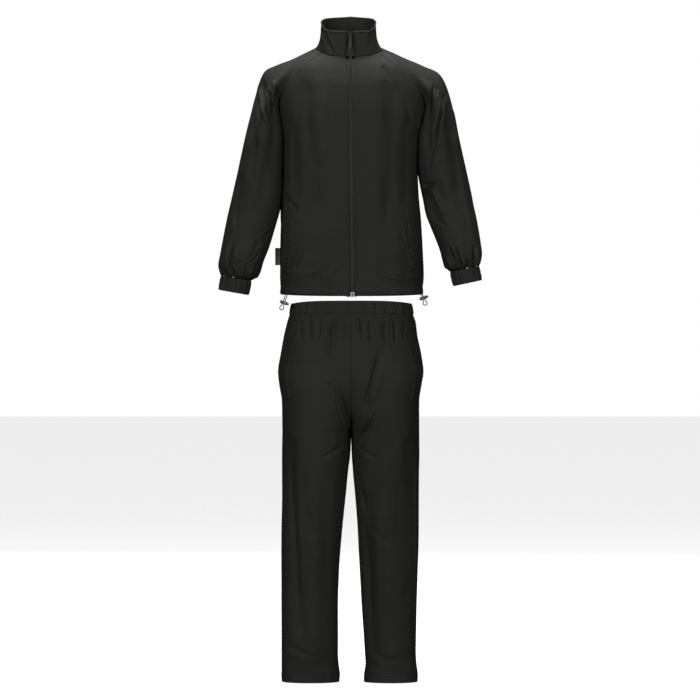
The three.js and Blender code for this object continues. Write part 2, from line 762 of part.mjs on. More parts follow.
// Distance from the middle to the end of the collar on one side
function collarEdge(side) {
  return side < 0 ? COLLAR_EDGE_LEFT : COLLAR_EDGE_RIGHT;
}

// Top edge of one front: along the neck seam, then down the raglan seam
function frontTopPlaces(side) {
  const corner = neckCorner(side, -1);
  const start = bodyAngle(side, collarEdge(side), NECK_SEAM[0].z, -1);
  const places = [];
  for (let i = 0; i < NECK_FRONT_STEPS; i += 1) {
    places.push(neckSeamPlace(lerp(start, corner.angle, i / NECK_FRONT_STEPS)));
  }
  return places.concat(raglanPlaces(side, -1));
}

function neckBackPlaces(side) {
  const corner = neckCorner(side, 1);
  const places = [];
  for (let i = 0; i < NECK_BACK_STEPS / 2; i += 1) {
    places.push(neckSeamPlace(lerp(corner.angle, Math.PI / 2, (2 * i) / NECK_BACK_STEPS)));
  }
  places[0] = corner;
  return places;
}

// Lower edge of the hem: it lifts a little at the side seams and dips at the zip
function hemBottom({ x, y }) {
  const sideways = Math.abs(x) / Math.hypot(x, y);
  const dip = y < 0 ? HEM_ZIP_DIP * Math.exp(-((x / HEM_DIP_WIDTH) ** 2)) : 0;
  return HEM_BOTTOM + HEM_SIDE_LIFT * sideways ** 6 - dip;
}

function bodyCell(side, angle, z, folds, fade) {
  const point = bodyPoint(side, angle, z);
  const normal = bodyNormal(side, angle, z);
  const rise = foldsAt(folds, point.x, z) * fade;
  point.addScaledVector(normal, rise);
  return { point, normal };
}

// Share of the folds that is left near the seams at the top and at the side
function foldFade(angle, z, topZ) {
  return smooth((topZ - z) / 60) * smooth(Math.abs(angle) / 0.35);
}

function frontGrid(side) {
  const tops = frontTopPlaces(side);
  const steps = tops.length - 1;
  const low = HEM_BOTTOM + HEM_CASING;
  const grid = gridOf(steps, BODY_ROWS, (i, j) => {
    const share = j / BODY_ROWS;
    const z = lerp(low, tops[i].z, share);
    const even = lerp(-Math.PI / 2, 0, i / steps);
    let angle = panelAngle(side, -1, even, tops[i], z);
    if (i === 0) {
      const x = j === BODY_ROWS ? side * collarEdge(side) : zipX(z) + side * ZIP_OPENING;
      angle = bodyAngle(side, x, z, -1);
    }
    const edge = smooth(i / 3);
    return bodyCell(side, angle, z, BODY_FRONT_FOLDS, edge * foldFade(angle, z, tops[i].z));
  });
  return trimPanel(grid, ['last', 'top', 'bottom']);
}

function backGrid() {
  const left = raglanPlaces(-1, 1).reverse();
  const right = raglanPlaces(1, 1);
  const neckLeft = neckBackPlaces(-1).slice(1);
  const neckRight = neckBackPlaces(1).slice(1).reverse();
  const middle = neckSeamPlace(Math.PI / 2);
  const tops = [];
  left.concat(neckLeft).forEach((place) => tops.push({ side: -1, ...place }));
  tops.push({ side: 1, ...middle });
  neckRight.concat(right).forEach((place) => tops.push({ side: 1, ...place }));
  const steps = tops.length - 1;
  const low = HEM_BOTTOM + HEM_CASING;
  const grid = gridOf(steps, BODY_ROWS, (i, j) => {
    const share = j / BODY_ROWS;
    const z = lerp(low, tops[i].z, share);
    const round = (2 * i) / steps;
    const even = (round <= 1 ? round : 2 - round) * (Math.PI / 2);
    const angle = panelAngle(tops[i].side, 1, even, tops[i], z);
    return bodyCell(tops[i].side, angle, z, BODY_BACK_FOLDS, foldFade(angle, z, tops[i].z));
  });
  return trimPanel(grid, ['first', 'last', 'top', 'bottom']);
}

// Hem casing under a body panel, from the panel's own lowest points
function hemGrid(panel) {
  return panel.map((line) => {
    const { point, normal } = line[0];
    const flat = normal.clone().setZ(0).normalize();
    const top = point.clone().setZ(HEM_BOTTOM + HEM_CASING - SEAM_GAP / 2);
    const bottom = top.clone().setZ(hemBottom(point));
    return [{ point: bottom, normal: flat }, { point: top, normal: flat }];
  });
}

// Sleeves

function armPoint(side, rows, angle, z) {
  const inner = read(rows, 'z', z, 'inner');
  const outer = read(rows, 'z', z, 'outer');
  const depth = read(rows, 'z', z, 'depth');
  const tilt = read(rows, 'z', z, 'tilt') * DEGREE;
  const half = (outer - inner) / 2;
  const centre = new THREE.Vector3(side * (inner + outer) / 2, -read(rows, 'z', z, 'forward'), z);
  const across = half * Math.cos(angle);
  centre.x -= side * across * Math.cos(tilt);
  centre.z -= across * Math.sin(tilt);
  centre.y -= depth * Math.sin(angle);
  return centre;
}

// Closed upper edge of a sleeve, from the armpit up the front, round the neck and down the back
function sleeveLoop(side) {
  const front = raglanPlaces(side, -1).reverse();
  const back = raglanPlaces(side, 1);
  const neck = [];
  for (let i = 1; i < NECK_SIDE_STEPS; i += 1) {
    neck.push(neckSeamPlace(lerp(front[RAGLAN_STEPS].angle, back[0].angle, i / NECK_SIDE_STEPS)));
  }
  const places = front.concat(neck, back.slice(0, RAGLAN_STEPS));
  const cells = places.map((place) => ({
    point: bodyPoint(side, place.angle, place.z),
    normal: bodyNormal(side, place.angle, place.z),
  }));
  const count = cells.length;
  cells.forEach((cell, index) => {
    const before = cells[(index + count - 1) % count].point;
    const after = cells[(index + 1) % count].point;
    cell.leave = after.clone().sub(before).cross(cell.normal).normalize();
  });
  const outermost = cells[RAGLAN_STEPS + NECK_SIDE_STEPS / 2];
  const sign = Math.sign(outermost.leave.x * side);
  const turnedOut = new THREE.Vector3(side, 0, -0.3).normalize();
  cells.forEach((cell, index) => {
    const turn = ARMPIT_TURN[Math.min(index, count - index)] ?? 0;
    cell.leave.multiplyScalar(sign).lerp(turnedOut, turn).normalize();
  });
  return cells;
}

function sleeveGrid(side) {
  const rows = side < 0 ? SLEEVE_LEFT : SLEEVE_RIGHT;
  const folds = side < 0 ? SLEEVE_LEFT_FOLDS : SLEEVE_RIGHT_FOLDS;
  const loop = sleeveLoop(side);
  const count = loop.length;
  const top = rows[rows.length - 1].z;
  const low = rows[0].z;
  const curves = loop.map((cell, index) => {
    const angle = (index / count) * 2 * Math.PI;
    const start = armPoint(side, rows, angle, top);
    const rise = start.clone().sub(armPoint(side, rows, angle, top - ARM_CLIMB)).normalize();
    const end = cell.point.clone().addScaledVector(cell.leave, SEAM_GAP / 2);
    const span = start.distanceTo(end);
    const fullness = lerp(UNDERARM_FULLNESS, SHOULDER_FULLNESS, (1 - Math.cos(angle)) / 2);
    const fromTop = Math.abs(index - count / 2) / (count / 2);
    const endFullness = lerp(fullness, NECK_FULLNESS, smooth(fromTop / 0.2) * smooth((1 - fromTop) / 0.6));
    const control1 = start.clone().addScaledVector(rise, span * fullness);
    const control2 = end.clone().addScaledVector(cell.leave, span * endFullness);
    return new THREE.CubicBezierCurve3(start, control1, control2, end);
  });
  const total = ARM_ROWS + SHOULDER_ROWS;
  const base = gridOf(count - 1, total, (i, j) => {
    if (j <= ARM_ROWS) {
      const climbed = 1 - (1 - j / ARM_ROWS) ** ARM_ROW_BUNCHING;
      return armPoint(side, rows, (i / count) * 2 * Math.PI, lerp(low, top, climbed));
    }
    return curves[i].getPointAt((j - ARM_ROWS) / SHOULDER_ROWS);
  });
  const grid = gridOf(count - 1, total, (i, j) => {
    const after = base[(i + 1) % count][j].clone();
    const before = base[(i + count - 1) % count][j];
    const up = base[i][Math.min(j + 1, total)].clone().sub(base[i][Math.max(j - 1, 0)]);
    if (j === total) {
      up.copy(loop[i].leave).negate();
    }
    const normal = after.sub(before).cross(up).normalize();
    return { point: base[i][j], normal };
  });
  orientOutwards(grid, new THREE.Vector3(side, 0, 0));
  grid.forEach((line, i) => line.forEach((cell, j) => {
    const fade = smooth((total - j) / 4) * smooth(j / 2);
    const angle = (i / count) * 360;
    const away = 1 - Math.cos(angle * DEGREE) ** 8 * (angle < 90 || angle > 270 ? 1 : 0);
    cell.point.addScaledVector(cell.normal, sleeveFoldsAt(folds, angle, cell.point.z) * fade * away);
  }));
  const axis = armAxis(side, rows);
  grid.forEach((line) => line[0].point.addScaledVector(axis, -SEAM_GAP / 2));
  return grid;
}

// Turns all normals round if the one on the outside faces the wrong way
function orientOutwards(grid, outwards) {
  const cell = grid[Math.floor(grid.length / 2)][Math.floor(grid[0].length / 3)];
  if (cell.normal.dot(outwards) < 0) {
    grid.forEach((line) => line.forEach((other) => other.normal.negate()));
  }
}

// Direction of the arm at the cuff, pointing down
function armAxis(side, rows) {
  const tilt = rows[0].tilt * DEGREE;
  return new THREE.Vector3(side * Math.sin(tilt), CUFF_FORWARD, -Math.cos(tilt)).normalize();
}

function cuffGrid(side) {
  const rows = side < 0 ? SLEEVE_LEFT : SLEEVE_RIGHT;
  const axis = armAxis(side, rows);
  const count = CUFF_GATHERS * GATHER_POINTS;
  const centre = new THREE.Vector3(
    side * (rows[0].inner + rows[0].outer) / 2,
    -rows[0].forward,
    rows[0].z,
  );
  return gridOf(count - 1, CUFF_ROWS, (i, j) => {
    const angle = (i / count) * 2 * Math.PI;
    const rim = armPoint(side, rows, angle, rows[0].z);
    const normal = rim.clone().sub(centre).normalize();
    const share = lerp(1, CUFF_RIM_GATHER, j / CUFF_ROWS);
    rim.addScaledVector(normal, CUFF_GATHER_DEPTH * Math.cos(angle * CUFF_GATHERS) * share);
    rim.addScaledVector(axis, SEAM_GAP / 2 + CUFF_HEIGHT * (j / CUFF_ROWS));
    return { point: rim, normal };
  });
}

// Collar

function collarTopPoint(side, angle) {
  const degrees = angle / DEGREE;
  const half = read(COLLAR_TOP, 'angle', degrees, side < 0 ? 'left' : 'right');
  const depth = read(COLLAR_TOP, 'angle', degrees, 'depth');
  const z = read(COLLAR_TOP, 'angle', degrees, 'z');
  return new THREE.Vector3(side * half * Math.cos(angle), depth * Math.sin(angle), z);
}

// Places round the neck seam, from the front edge on one side to the other front edge
function neckLoop() {
  const half = (side) => {
    const front = frontTopPlaces(side).slice(0, NECK_FRONT_STEPS);
    const loop = sleeveLoopNeck(side);
    return front.concat(loop, neckBackPlaces(side).slice(1)).map((place) => ({ side, ...place }));
  };
  const middle = { side: 1, ...neckSeamPlace(Math.PI / 2) };
  return half(-1).concat([middle], half(1).reverse());
}

function sleeveLoopNeck(side) {
  const front = neckCorner(side, -1);
  const back = neckCorner(side, 1);
  const places = [];
  for (let i = 0; i <= NECK_SIDE_STEPS; i += 1) {
    places.push(neckSeamPlace(lerp(front.angle, back.angle, i / NECK_SIDE_STEPS)));
  }
  places[0] = front;
  places[NECK_SIDE_STEPS] = back;
  return places;
}

function collarCell(side, angle, foot, share) {
  const top = collarTopPoint(side, angle);
  const point = foot.clone().lerp(top, share);
  const normal = new THREE.Vector3(point.x / COLLAR_WIDTH ** 2, point.y / COLLAR_DEPTH ** 2, 0).normalize();
  point.addScaledVector(normal, COLLAR_BOW * Math.sin(Math.PI * share));
  return { point, normal };
}

function collarGrid() {
  const loop = neckLoop();
  const last = loop.length - 1;
  return gridOf(last, COLLAR_ROWS, (i, j) => {
    const { side, angle, z } = loop[i];
    const foot = bodyPoint(side, angle, z);
    foot.z += SEAM_GAP * 0.7;
    const cell = collarCell(side, angle, foot, j / COLLAR_ROWS);
    if (i === 0 || i === last) {
      cell.point.x = side * collarEdge(side);
    }
    return cell;
  });
}

// Cloth behind the zip, between and behind the two ends of the collar
function guardGrid(collar) {
  const left = collar[0];
  const right = collar[collar.length - 1];
  const outLeft = -COLLAR_EDGE_LEFT - GUARD_OVERLAP;
  const outRight = COLLAR_EDGE_RIGHT + GUARD_OVERLAP;
  const half = GUARD_COLUMNS / 2;
  return gridOf(GUARD_COLUMNS, COLLAR_ROWS, (i, j) => {
    const x = lerp(outLeft, outRight, i / GUARD_COLUMNS);
    const share = (x + COLLAR_EDGE_LEFT) / (COLLAR_EDGE_LEFT + COLLAR_EDGE_RIGHT);
    const point = left[j].point.clone().lerp(right[j].point, clamp(share, 0, 1));
    point.x = x;
    point.y += GUARD_SINK + GUARD_CURVE * smooth(Math.abs(i - half) / half);
    point.z -= GUARD_DROP;
    return { point, normal: new THREE.Vector3(0, -1, 0) };
  });
}

// Zip

// Centre line of the zip up the front and the collar: points, with the way out from the cloth
function zipLine(front, collar) {
  const cells = front[0].map((cell, index) => {
    const z = index === 0 ? ZIP_FOOT : cell.point.z;
    const x = zipX(z);
    const side = Math.sign(x) || 1;
    const angle = bodyAngle(side, x, z, -1);
    return { point: bodyPoint(side, angle, z), normal: bodyNormal(side, angle, z) };
  });
  const foot = cells.pop();
  foot.normal.add(new THREE.Vector3(0, -1, 0)).normalize();
  cells.push(foot);
  const left = collar[0];
  const right = collar[collar.length - 1];
  for (let j = 1; j <= COLLAR_ROWS; j += 1) {
    const point = left[j].point.clone().lerp(right[j].point, 0.5);
    point.x = zipX(point.z);
    cells.push({ point, normal: new THREE.Vector3(0, -1, 0) });
  }
  return cells;
}

// Flat strip beside the zip's centre line
function stripGrid(line, low, high, sink) {
  return [low, high].map((offset) => line.map(({ point, normal }) => {
    const place = point.clone().addScaledVector(normal, -sink);
    place.x += offset;
    return { point: place, normal };
  }));
}

function zipPieces(line) {
  const half = ZIP_CHAIN_WIDTH / 2;
  const tapes = line.slice(0, BODY_ROWS + 1).map(({ point, normal }) => ({ point: point.clone(), normal }));
  tapes[BODY_ROWS].point.z -= ZIP_TAPE_DROP;
  const chain = line.slice(0, line.length - 1);
  const last = line[line.length - 1];
  chain.push({ point: chain[chain.length - 1].point.clone().lerp(last.point, 0.5), normal: last.normal });
  const rise = (ZIP_BOX.top + SEAM_GAP - line[0].point.z) / (line[1].point.z - line[0].point.z);
  chain[0] = { point: line[0].point.clone().lerp(line[1].point, rise), normal: line[0].normal };
  const strips = [
    { name: 'zip_tape_left', low: -ZIP_TAPE_WIDTH, high: -SEAM_GAP / 2 },
    { name: 'zip_tape_right', low: SEAM_GAP / 2, high: ZIP_TAPE_WIDTH },
  ];
  const pieces = strips.map(({ name, low, high }) => (
    piece(name, wallGeometry(stripGrid(tapes, low, high, ZIP_TAPE_SINK), ZIP_TAPE), TRIM_COLOUR)
  ));
  const chainWall = wallGeometry(stripGrid(chain, -half, half, ZIP_CHAIN_SINK), ZIP_CHAIN);
  return pieces.concat(piece('zip_chain', chainWall, CHAIN_COLOUR, 0.45));
}

// Block between two corners, as a solid
function block(lowX, highX, lowY, highY, lowZ, highZ) {
  const geometry = new THREE.BoxGeometry(highX - lowX, highY - lowY, highZ - lowZ);
  geometry.translate((lowX + highX) / 2, (lowY + highY) / 2, (lowZ + highZ) / 2);
  return toSolid(welded(geometry));
}

// Slider with the bridge that its pull hangs from, and the pull
function sliderPieces(line) {
  const face = line.reduce((near, cell) => (
    Math.abs(cell.point.z - SLIDER.rise) < Math.abs(near.point.z - SLIDER.rise) ? cell : near
  ));
  const x = zipX(SLIDER.rise);
  const back = face.point.y + ZIP_CHAIN_SINK - SEAM_GAP - SLIDER.clear;
  const front = back - SLIDER.thickness;
  const plate = new THREE.Shape();
  plate.moveTo(-SLIDER.width / 2, SLIDER.height / 2);
  plate.lineTo(SLIDER.width / 2, SLIDER.height / 2);
  plate.lineTo(SLIDER.width / 2 - SLIDER.taper, -SLIDER.height / 2);
  plate.lineTo(-SLIDER.width / 2 + SLIDER.taper, -SLIDER.height / 2);
  const plateGeometry = extrudedSolid(plate, SLIDER.thickness);
  plateGeometry.rotateX(Math.PI / 2);
  plateGeometry.translate(x, back - SLIDER.thickness / 2, SLIDER.rise);
  const reach = BRIDGE.opening + BRIDGE.thickness;
  const halfWidth = BRIDGE.width / 2;
  const outer = block(x - halfWidth, x + halfWidth, front - reach, front + 0.5,
    SLIDER.rise - BRIDGE.foot, SLIDER.rise + BRIDGE.foot);
  const inside = BRIDGE.foot - BRIDGE.thickness;
  const hollow = block(x - halfWidth - 1, x + halfWidth + 1, front - BRIDGE.opening, front,
    SLIDER.rise - inside, SLIDER.rise + inside);
  const slider = toSolid(plateGeometry).add(outer.subtract(hollow));

  const pivotY = front - BRIDGE.opening / 2;
  const pullTop = SLIDER.rise + PULL.bar / 2;
  const plateOfPull = roundedBlock(PULL.width, PULL.length, PULL.thickness, PULL.corner);
  plateOfPull.rotateX(Math.PI / 2);
  plateOfPull.translate(x, pivotY, pullTop - PULL.length / 2);
  const slot = block(x - PULL.slot / 2, x + PULL.slot / 2, pivotY - PULL.thickness, pivotY + PULL.thickness,
    SLIDER.rise - PULL.rail, SLIDER.rise - PULL.bar / 2);
  const pull = toSolid(plateOfPull).subtract(slot);
  return [
    piece('zip_slider', fromSolid(slider), TRIM_COLOUR, 0.4, 0.6),
    piece('zip_pull', fromSolid(pull), TRIM_COLOUR, 0.4, 0.6),
  ];
}

// Box that holds the foot of the closed zip
function zipBox(line) {
  const foot = line[0].point;
  const front = foot.y + ZIP_BOX.sink - ZIP_BOX.thickness;
  const geometry = roundedBlock(ZIP_BOX.width, ZIP_BOX.height, ZIP_BOX.thickness, ZIP_BOX.corner);
  geometry.rotateX(Math.PI / 2);
  geometry.translate(zipX(HEM_BOTTOM), front + ZIP_BOX.thickness / 2, ZIP_BOX.top - ZIP_BOX.height / 2);
  return piece('zip_box', geometry, METAL_COLOUR, 0.45, 0.1);
}

// Pieces that lie on a panel

// Strip that lies on a panel along a line of places, each with the strip's two edges
function laidStrip(grid, places, thickness) {
  const strip = gridOf(STRIP_COLUMNS, places.length - 1, (i, j) => {
    const { nearX, farX, z } = places[j];
    const spot = findOnPanel(grid, lerp(nearX, farX, i / STRIP_COLUMNS), z);
    return onPanel(grid, spot.u, spot.v, LAID_ON + thickness);
  });
  return wallGeometry(strip, thickness);
}

function pocketWelt(grid, side) {
  const places = [];
  for (let i = 0; i <= WELT.steps; i += 1) {
    const x = lerp(WELT.lowX, WELT.topX, i / WELT.steps);
    places.push({
      nearX: side * (x - WELT.width / 2),
      farX: side * (x + WELT.width / 2),
      z: lerp(WELT.lowZ, WELT.topZ, i / WELT.steps),
    });
  }
  return laidStrip(grid, places, WELT.thickness);
}

function pocketEdge(grid, side) {
  const places = [];
  for (let i = 0; i <= POCKET_EDGE.steps; i += 1) {
    const share = i / POCKET_EDGE.steps;
    const z = lerp(POCKET_EDGE.low, POCKET_EDGE.top, share);
    const reach = read(HIP, 'z', z, side < 0 ? 'left' : 'right');
    const x = reach - lerp(POCKET_EDGE.lowIn, POCKET_EDGE.topIn, share ** POCKET_EDGE.curve);
    places.push({
      nearX: side * (x - POCKET_EDGE.width / 2),
      farX: side * (x + POCKET_EDGE.width / 2),
      z,
    });
  }
  return laidStrip(grid, places, POCKET_EDGE.thickness);
}

function sideLabel() {
  const seamTop = read(BODY, 'z', LABEL.top, 'left');
  const seamLow = read(BODY, 'z', LABEL.top - LABEL.height, 'left');
  const near = -Math.max(seamTop, seamLow) - SEAM_GAP;
  const tab = block(near - LABEL.width, near, -LABEL.thickness / 2, LABEL.thickness / 2,
    LABEL.top - LABEL.height, LABEL.top);
  return piece('side_label', fromSolid(tab), TRIM_COLOUR, 0.7);
}

// Drawcord at the hem

function cordLoop(name, points) {
  const path = new THREE.CatmullRomCurve3(points.map((point) => new THREE.Vector3(...point)));
  const section = new THREE.Shape();
  for (let i = 0; i < CORD.sides; i += 1) {
    const angle = (i / CORD.sides) * 2 * Math.PI;
    const x = (CORD.diameter / 2) * Math.cos(angle);
    const y = (CORD.diameter / 2) * Math.sin(angle);
    if (i === 0) {
      section.moveTo(x, y);
    } else {
      section.lineTo(x, y);
    }
  }
  section.closePath();
  const options = { steps: CORD.steps, extrudePath: path, curveSegments: 1 };
  const tube = new THREE.ExtrudeGeometry(section, options);
  return piece(name, welded(tube), TRIM_COLOUR, 0.75);
}

// Cord lock: a barrel with a slot for both strands, and its push button
function cordLock(name, place) {
  const { length, height, depth, corner, slotWidth, slotDepth, button: reach, step } = CORD_LOCK;
  const barrel = toSolid(roundedBlock(length, height, depth, corner));
  const slotBlock = roundedBlock(slotWidth, slotDepth, height * 2, slotDepth * SLOT_ROUNDING);
  const slot = toSolid(slotBlock.rotateX(Math.PI / 2));
  const button = roundedBlock(reach, height - step, depth - step, corner / 2);
  button.translate((length + reach) / 2 + SEAM_GAP, 0, 0);
  const settle = (geometry) => {
    geometry.rotateX(Math.PI / 2);
    geometry.rotateY(-place.turn * DEGREE);
    geometry.translate(place.x, place.y, place.z);
    return geometry;
  };
  return [
    piece(name, settle(fromSolid(barrel.subtract(slot))), LOCK_COLOUR, 0.35),
    piece(`${name}_button`, settle(button), LOCK_COLOUR, 0.35),
  ];
}

// Trousers

// Middle and half width of one leg's section. Above the crotch the two legs' sections run together.
function legSection(side, z) {
  const outer = read(HIP, 'z', z, side < 0 ? 'left' : 'right');
  if (z <= CROTCH) {
    const inner = read(HIP, 'z', z, side < 0 ? 'innerLeft' : 'innerRight');
    return { centre: (outer + inner) / 2, half: (outer - inner) / 2, share: 1 };
  }
  const share = clamp((CROTCH_CURVE_TOP - z) / (CROTCH_CURVE_TOP - CROTCH), 0, 1);
  return { centre: (share * outer) / (1 + share), half: outer / (1 + share), share };
}

// Point of the trousers: turn is 0 at the side seam and grows towards the middle or the inseam
function trouserPoint(side, facing, turn, z) {
  const section = legSection(side, z);
  const power = 2 / TROUSER_ROUNDNESS;
  const cosine = Math.cos(turn);
  const x = section.centre + section.half * Math.sign(cosine) * Math.abs(cosine) ** power;
  const depth = read(HIP, 'z', z, facing < 0 ? 'front' : 'back');
  const y = read(HIP, 'z', z, 'middle') + facing * depth * Math.abs(Math.sin(turn)) ** power;
  return new THREE.Vector3(side * (x + SEAM_GAP / 2), y, z);
}

function trouserNormal(side, facing, turn, z) {
  const outwards = trouserPoint(side, facing, turn, z);
  outwards.x -= side * legSection(side, z).centre;
  outwards.z = 0;
  return surfaceNormal((u, v) => trouserPoint(side, facing, u, v), turn, z, 0, Math.PI, outwards);
}

// Turn at which the section meets the plane between the legs
function lastTurn(side, z) {
  const { share } = legSection(side, z);
  return Math.PI - Math.acos(clamp(share, 0, 1) ** (TROUSER_ROUNDNESS / 2));
}

function trouserHeight(row) {
  if (row <= LEG_ROWS) {
    return lerp(LEG_HEM_SEAM, CROTCH, row / LEG_ROWS);
  }
  return lerp(CROTCH, WAIST_SEAM, (row - LEG_ROWS) / HIP_ROWS);
}

function trouserGrid(side, facing) {
  const folds = facing < 0 ? TROUSER_FRONT_FOLDS : TROUSER_BACK_FOLDS;
  const grid = gridOf(PANEL_STEPS, LEG_ROWS + HIP_ROWS, (i, j) => {
    const z = trouserHeight(j);
    const share = i / PANEL_STEPS;
    const turn = lastTurn(side, z) * share;
    const point = trouserPoint(side, facing, turn, z);
    const normal = trouserNormal(side, facing, turn, z);
    const fade = smooth(share / FOLD_EDGE) * smooth((1 - share) / FOLD_EDGE);
    const gathered = smooth((z - WAIST_SEAM + GATHER_LENGTH) / GATHER_LENGTH);
    const inside = smooth(share / GATHER_EDGE) * smooth((1 - share) / GATHER_EDGE);
    const gather = (i % 2 === 0 ? -GATHER_DEPTH : GATHER_DEPTH) * gathered * inside;
    point.addScaledVector(normal, foldsAt(folds, point.x, z) * fade + gather);
    return { point, normal };
  });
  const legMiddle = grid[Math.floor(PANEL_STEPS / 2)][Math.floor(LEG_ROWS / 2)].point.clone();
  const inseam = grid[PANEL_STEPS].slice(0, LEG_ROWS + 1);
  const shifts = trimEdge(inseam, legMiddle, SEAM_GAP / 2);
  trimPanel(grid, ['first', 'top', 'bottom']);
  inseam.forEach((cell, index) => cell.point.add(shifts[index]));
  return grid;
}

// Ring of points round the waist, one place for each step
function waistPoint(angle, z) {
  const side = Math.cos(angle) < 0 ? -1 : 1;
  const facing = Math.sin(angle) < 0 ? -1 : 1;
  const power = 2 / TROUSER_ROUNDNESS;
  const reach = read(HIP, 'z', z, side < 0 ? 'left' : 'right');
  const depth = read(HIP, 'z', z, facing < 0 ? 'front' : 'back');
  const x = side * reach * Math.abs(Math.cos(angle)) ** power;
  const y = facing * depth * Math.abs(Math.sin(angle)) ** power;
  return new THREE.Vector3(x, y, z);
}

function waistbandGrid() {
  const count = WAIST_GATHERS * GATHER_POINTS;
  return gridOf(count - 1, WAIST_ROWS, (i, j) => {
    const angle = (i / count) * 2 * Math.PI;
    const side = Math.cos(angle) ** 4;
    const top = WAIST_TOP - WAIST_SIDE_DROP * side;
    const z = lerp(WAIST_SEAM + SEAM_GAP, top, j / WAIST_ROWS);
    const point = waistPoint(angle, z);
    const normal = point.clone().setZ(0);
    normal.y *= WAIST_FLATNESS;
    normal.normalize();
    point.addScaledVector(normal, WAIST_GATHER_DEPTH * Math.cos(angle * WAIST_GATHERS));
    return { point, normal };
  });
}

function legHemGrid(side) {
  const count = 2 * PANEL_STEPS;
  const top = LEG_HEM_SEAM - SEAM_GAP / 2;
  return gridOf(count - 1, 1, (i, j) => {
    const facing = i <= PANEL_STEPS ? -1 : 1;
    const turn = Math.PI * (facing < 0 ? i : count - i) / PANEL_STEPS;
    const z = j === 0 ? top : LEG_HEM_BOTTOM;
    const point = trouserPoint(side, facing, turn, z);
    const normal = trouserNormal(side, facing, turn, LEG_HEM_SEAM);
    if (i % PANEL_STEPS === 0) {
      normal.set(i === 0 ? side : -side, 0, 0);
    }
    return { point, normal };
  });
}

// The whole suit

function jacketPieces() {
  const frontLeft = frontGrid(-1);
  const frontRight = frontGrid(1);
  const back = backGrid();
  const collar = collarGrid();
  const line = zipLine(frontLeft, collar);
  return [
    piece('front_left', wallGeometry(frontLeft, CLOTH)),
    piece('front_right', wallGeometry(frontRight, CLOTH)),
    piece('back', wallGeometry(back, CLOTH)),
    piece('hem_front_left', wallGeometry(hemGrid(frontLeft), DOUBLE_CLOTH)),
    piece('hem_front_right', wallGeometry(hemGrid(frontRight), DOUBLE_CLOTH)),
    piece('hem_back', wallGeometry(hemGrid(back), DOUBLE_CLOTH)),
    piece('sleeve_left', wallGeometry(sleeveGrid(-1), CLOTH, true)),
    piece('sleeve_right', wallGeometry(sleeveGrid(1), CLOTH, true)),
    piece('cuff_left', wallGeometry(cuffGrid(-1), ELASTIC, true)),
    piece('cuff_right', wallGeometry(cuffGrid(1), ELASTIC, true)),
    piece('collar', wallGeometry(collar, DOUBLE_CLOTH)),
    piece('zip_guard', wallGeometry(guardGrid(collar), CLOTH), TRIM_COLOUR),
    ...zipPieces(line),
    ...sliderPieces(line),
    zipBox(line),
    piece('pocket_welt_left', pocketWelt(frontLeft, -1)),
    piece('pocket_welt_right', pocketWelt(frontRight, 1)),
    sideLabel(),
    cordLoop('hem_cord_left', CORD_LOOPS.left),
    cordLoop('hem_cord_right', CORD_LOOPS.right),
    ...cordLock('cord_lock_left', CORD_LOCK_LEFT),
    ...cordLock('cord_lock_right', CORD_LOCK_RIGHT),
  ];
}

function trouserPieces() {
  const frontLeft = trouserGrid(-1, -1);
  const frontRight = trouserGrid(1, -1);
  return [
    piece('trouser_front_left', wallGeometry(frontLeft, CLOTH)),
    piece('trouser_front_right', wallGeometry(frontRight, CLOTH)),
    piece('trouser_back_left', wallGeometry(trouserGrid(-1, 1), CLOTH)),
    piece('trouser_back_right', wallGeometry(trouserGrid(1, 1), CLOTH)),
    piece('waistband', wallGeometry(waistbandGrid(), ELASTIC, true)),
    piece('pocket_edge_left', pocketEdge(frontLeft, -1)),
    piece('pocket_edge_right', pocketEdge(frontRight, 1)),
    piece('leg_hem_left', wallGeometry(legHemGrid(-1), DOUBLE_CLOTH, true)),
    piece('leg_hem_right', wallGeometry(legHemGrid(1), DOUBLE_CLOTH, true)),
  ];
}

const tracksuit = new THREE.Group();
for (const mesh of [...jacketPieces(), ...trouserPieces()]) {
  tracksuit.add(mesh);
}

export default tracksuit;
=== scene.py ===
import math

import bmesh
import bpy
import numpy as np
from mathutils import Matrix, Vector


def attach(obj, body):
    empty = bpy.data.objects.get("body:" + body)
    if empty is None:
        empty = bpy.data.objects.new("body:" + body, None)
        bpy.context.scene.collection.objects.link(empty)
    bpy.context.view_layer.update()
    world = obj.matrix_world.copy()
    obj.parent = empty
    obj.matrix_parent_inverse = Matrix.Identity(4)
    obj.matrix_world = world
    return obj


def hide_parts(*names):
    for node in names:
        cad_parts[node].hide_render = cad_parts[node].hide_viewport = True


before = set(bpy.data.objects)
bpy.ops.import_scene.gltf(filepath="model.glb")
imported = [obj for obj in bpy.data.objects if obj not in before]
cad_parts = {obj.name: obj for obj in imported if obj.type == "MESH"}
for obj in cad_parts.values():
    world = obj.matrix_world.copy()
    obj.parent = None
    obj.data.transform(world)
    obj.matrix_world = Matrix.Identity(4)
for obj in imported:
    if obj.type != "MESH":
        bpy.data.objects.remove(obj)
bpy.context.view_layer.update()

MM = 0.001
SUIT = "suit"
QUARTER = math.pi / 2
DEGREE = math.pi / 180

# Camera: one pixel of the photograph is PIXEL millimetres, and the neck base is at NECK_PIXEL
PIXEL = 2.75
NECK_PIXEL = (351, 52)
PHOTO_SIZE = 700
CAMERA_DISTANCE = 10.0
SENSOR = 36.0

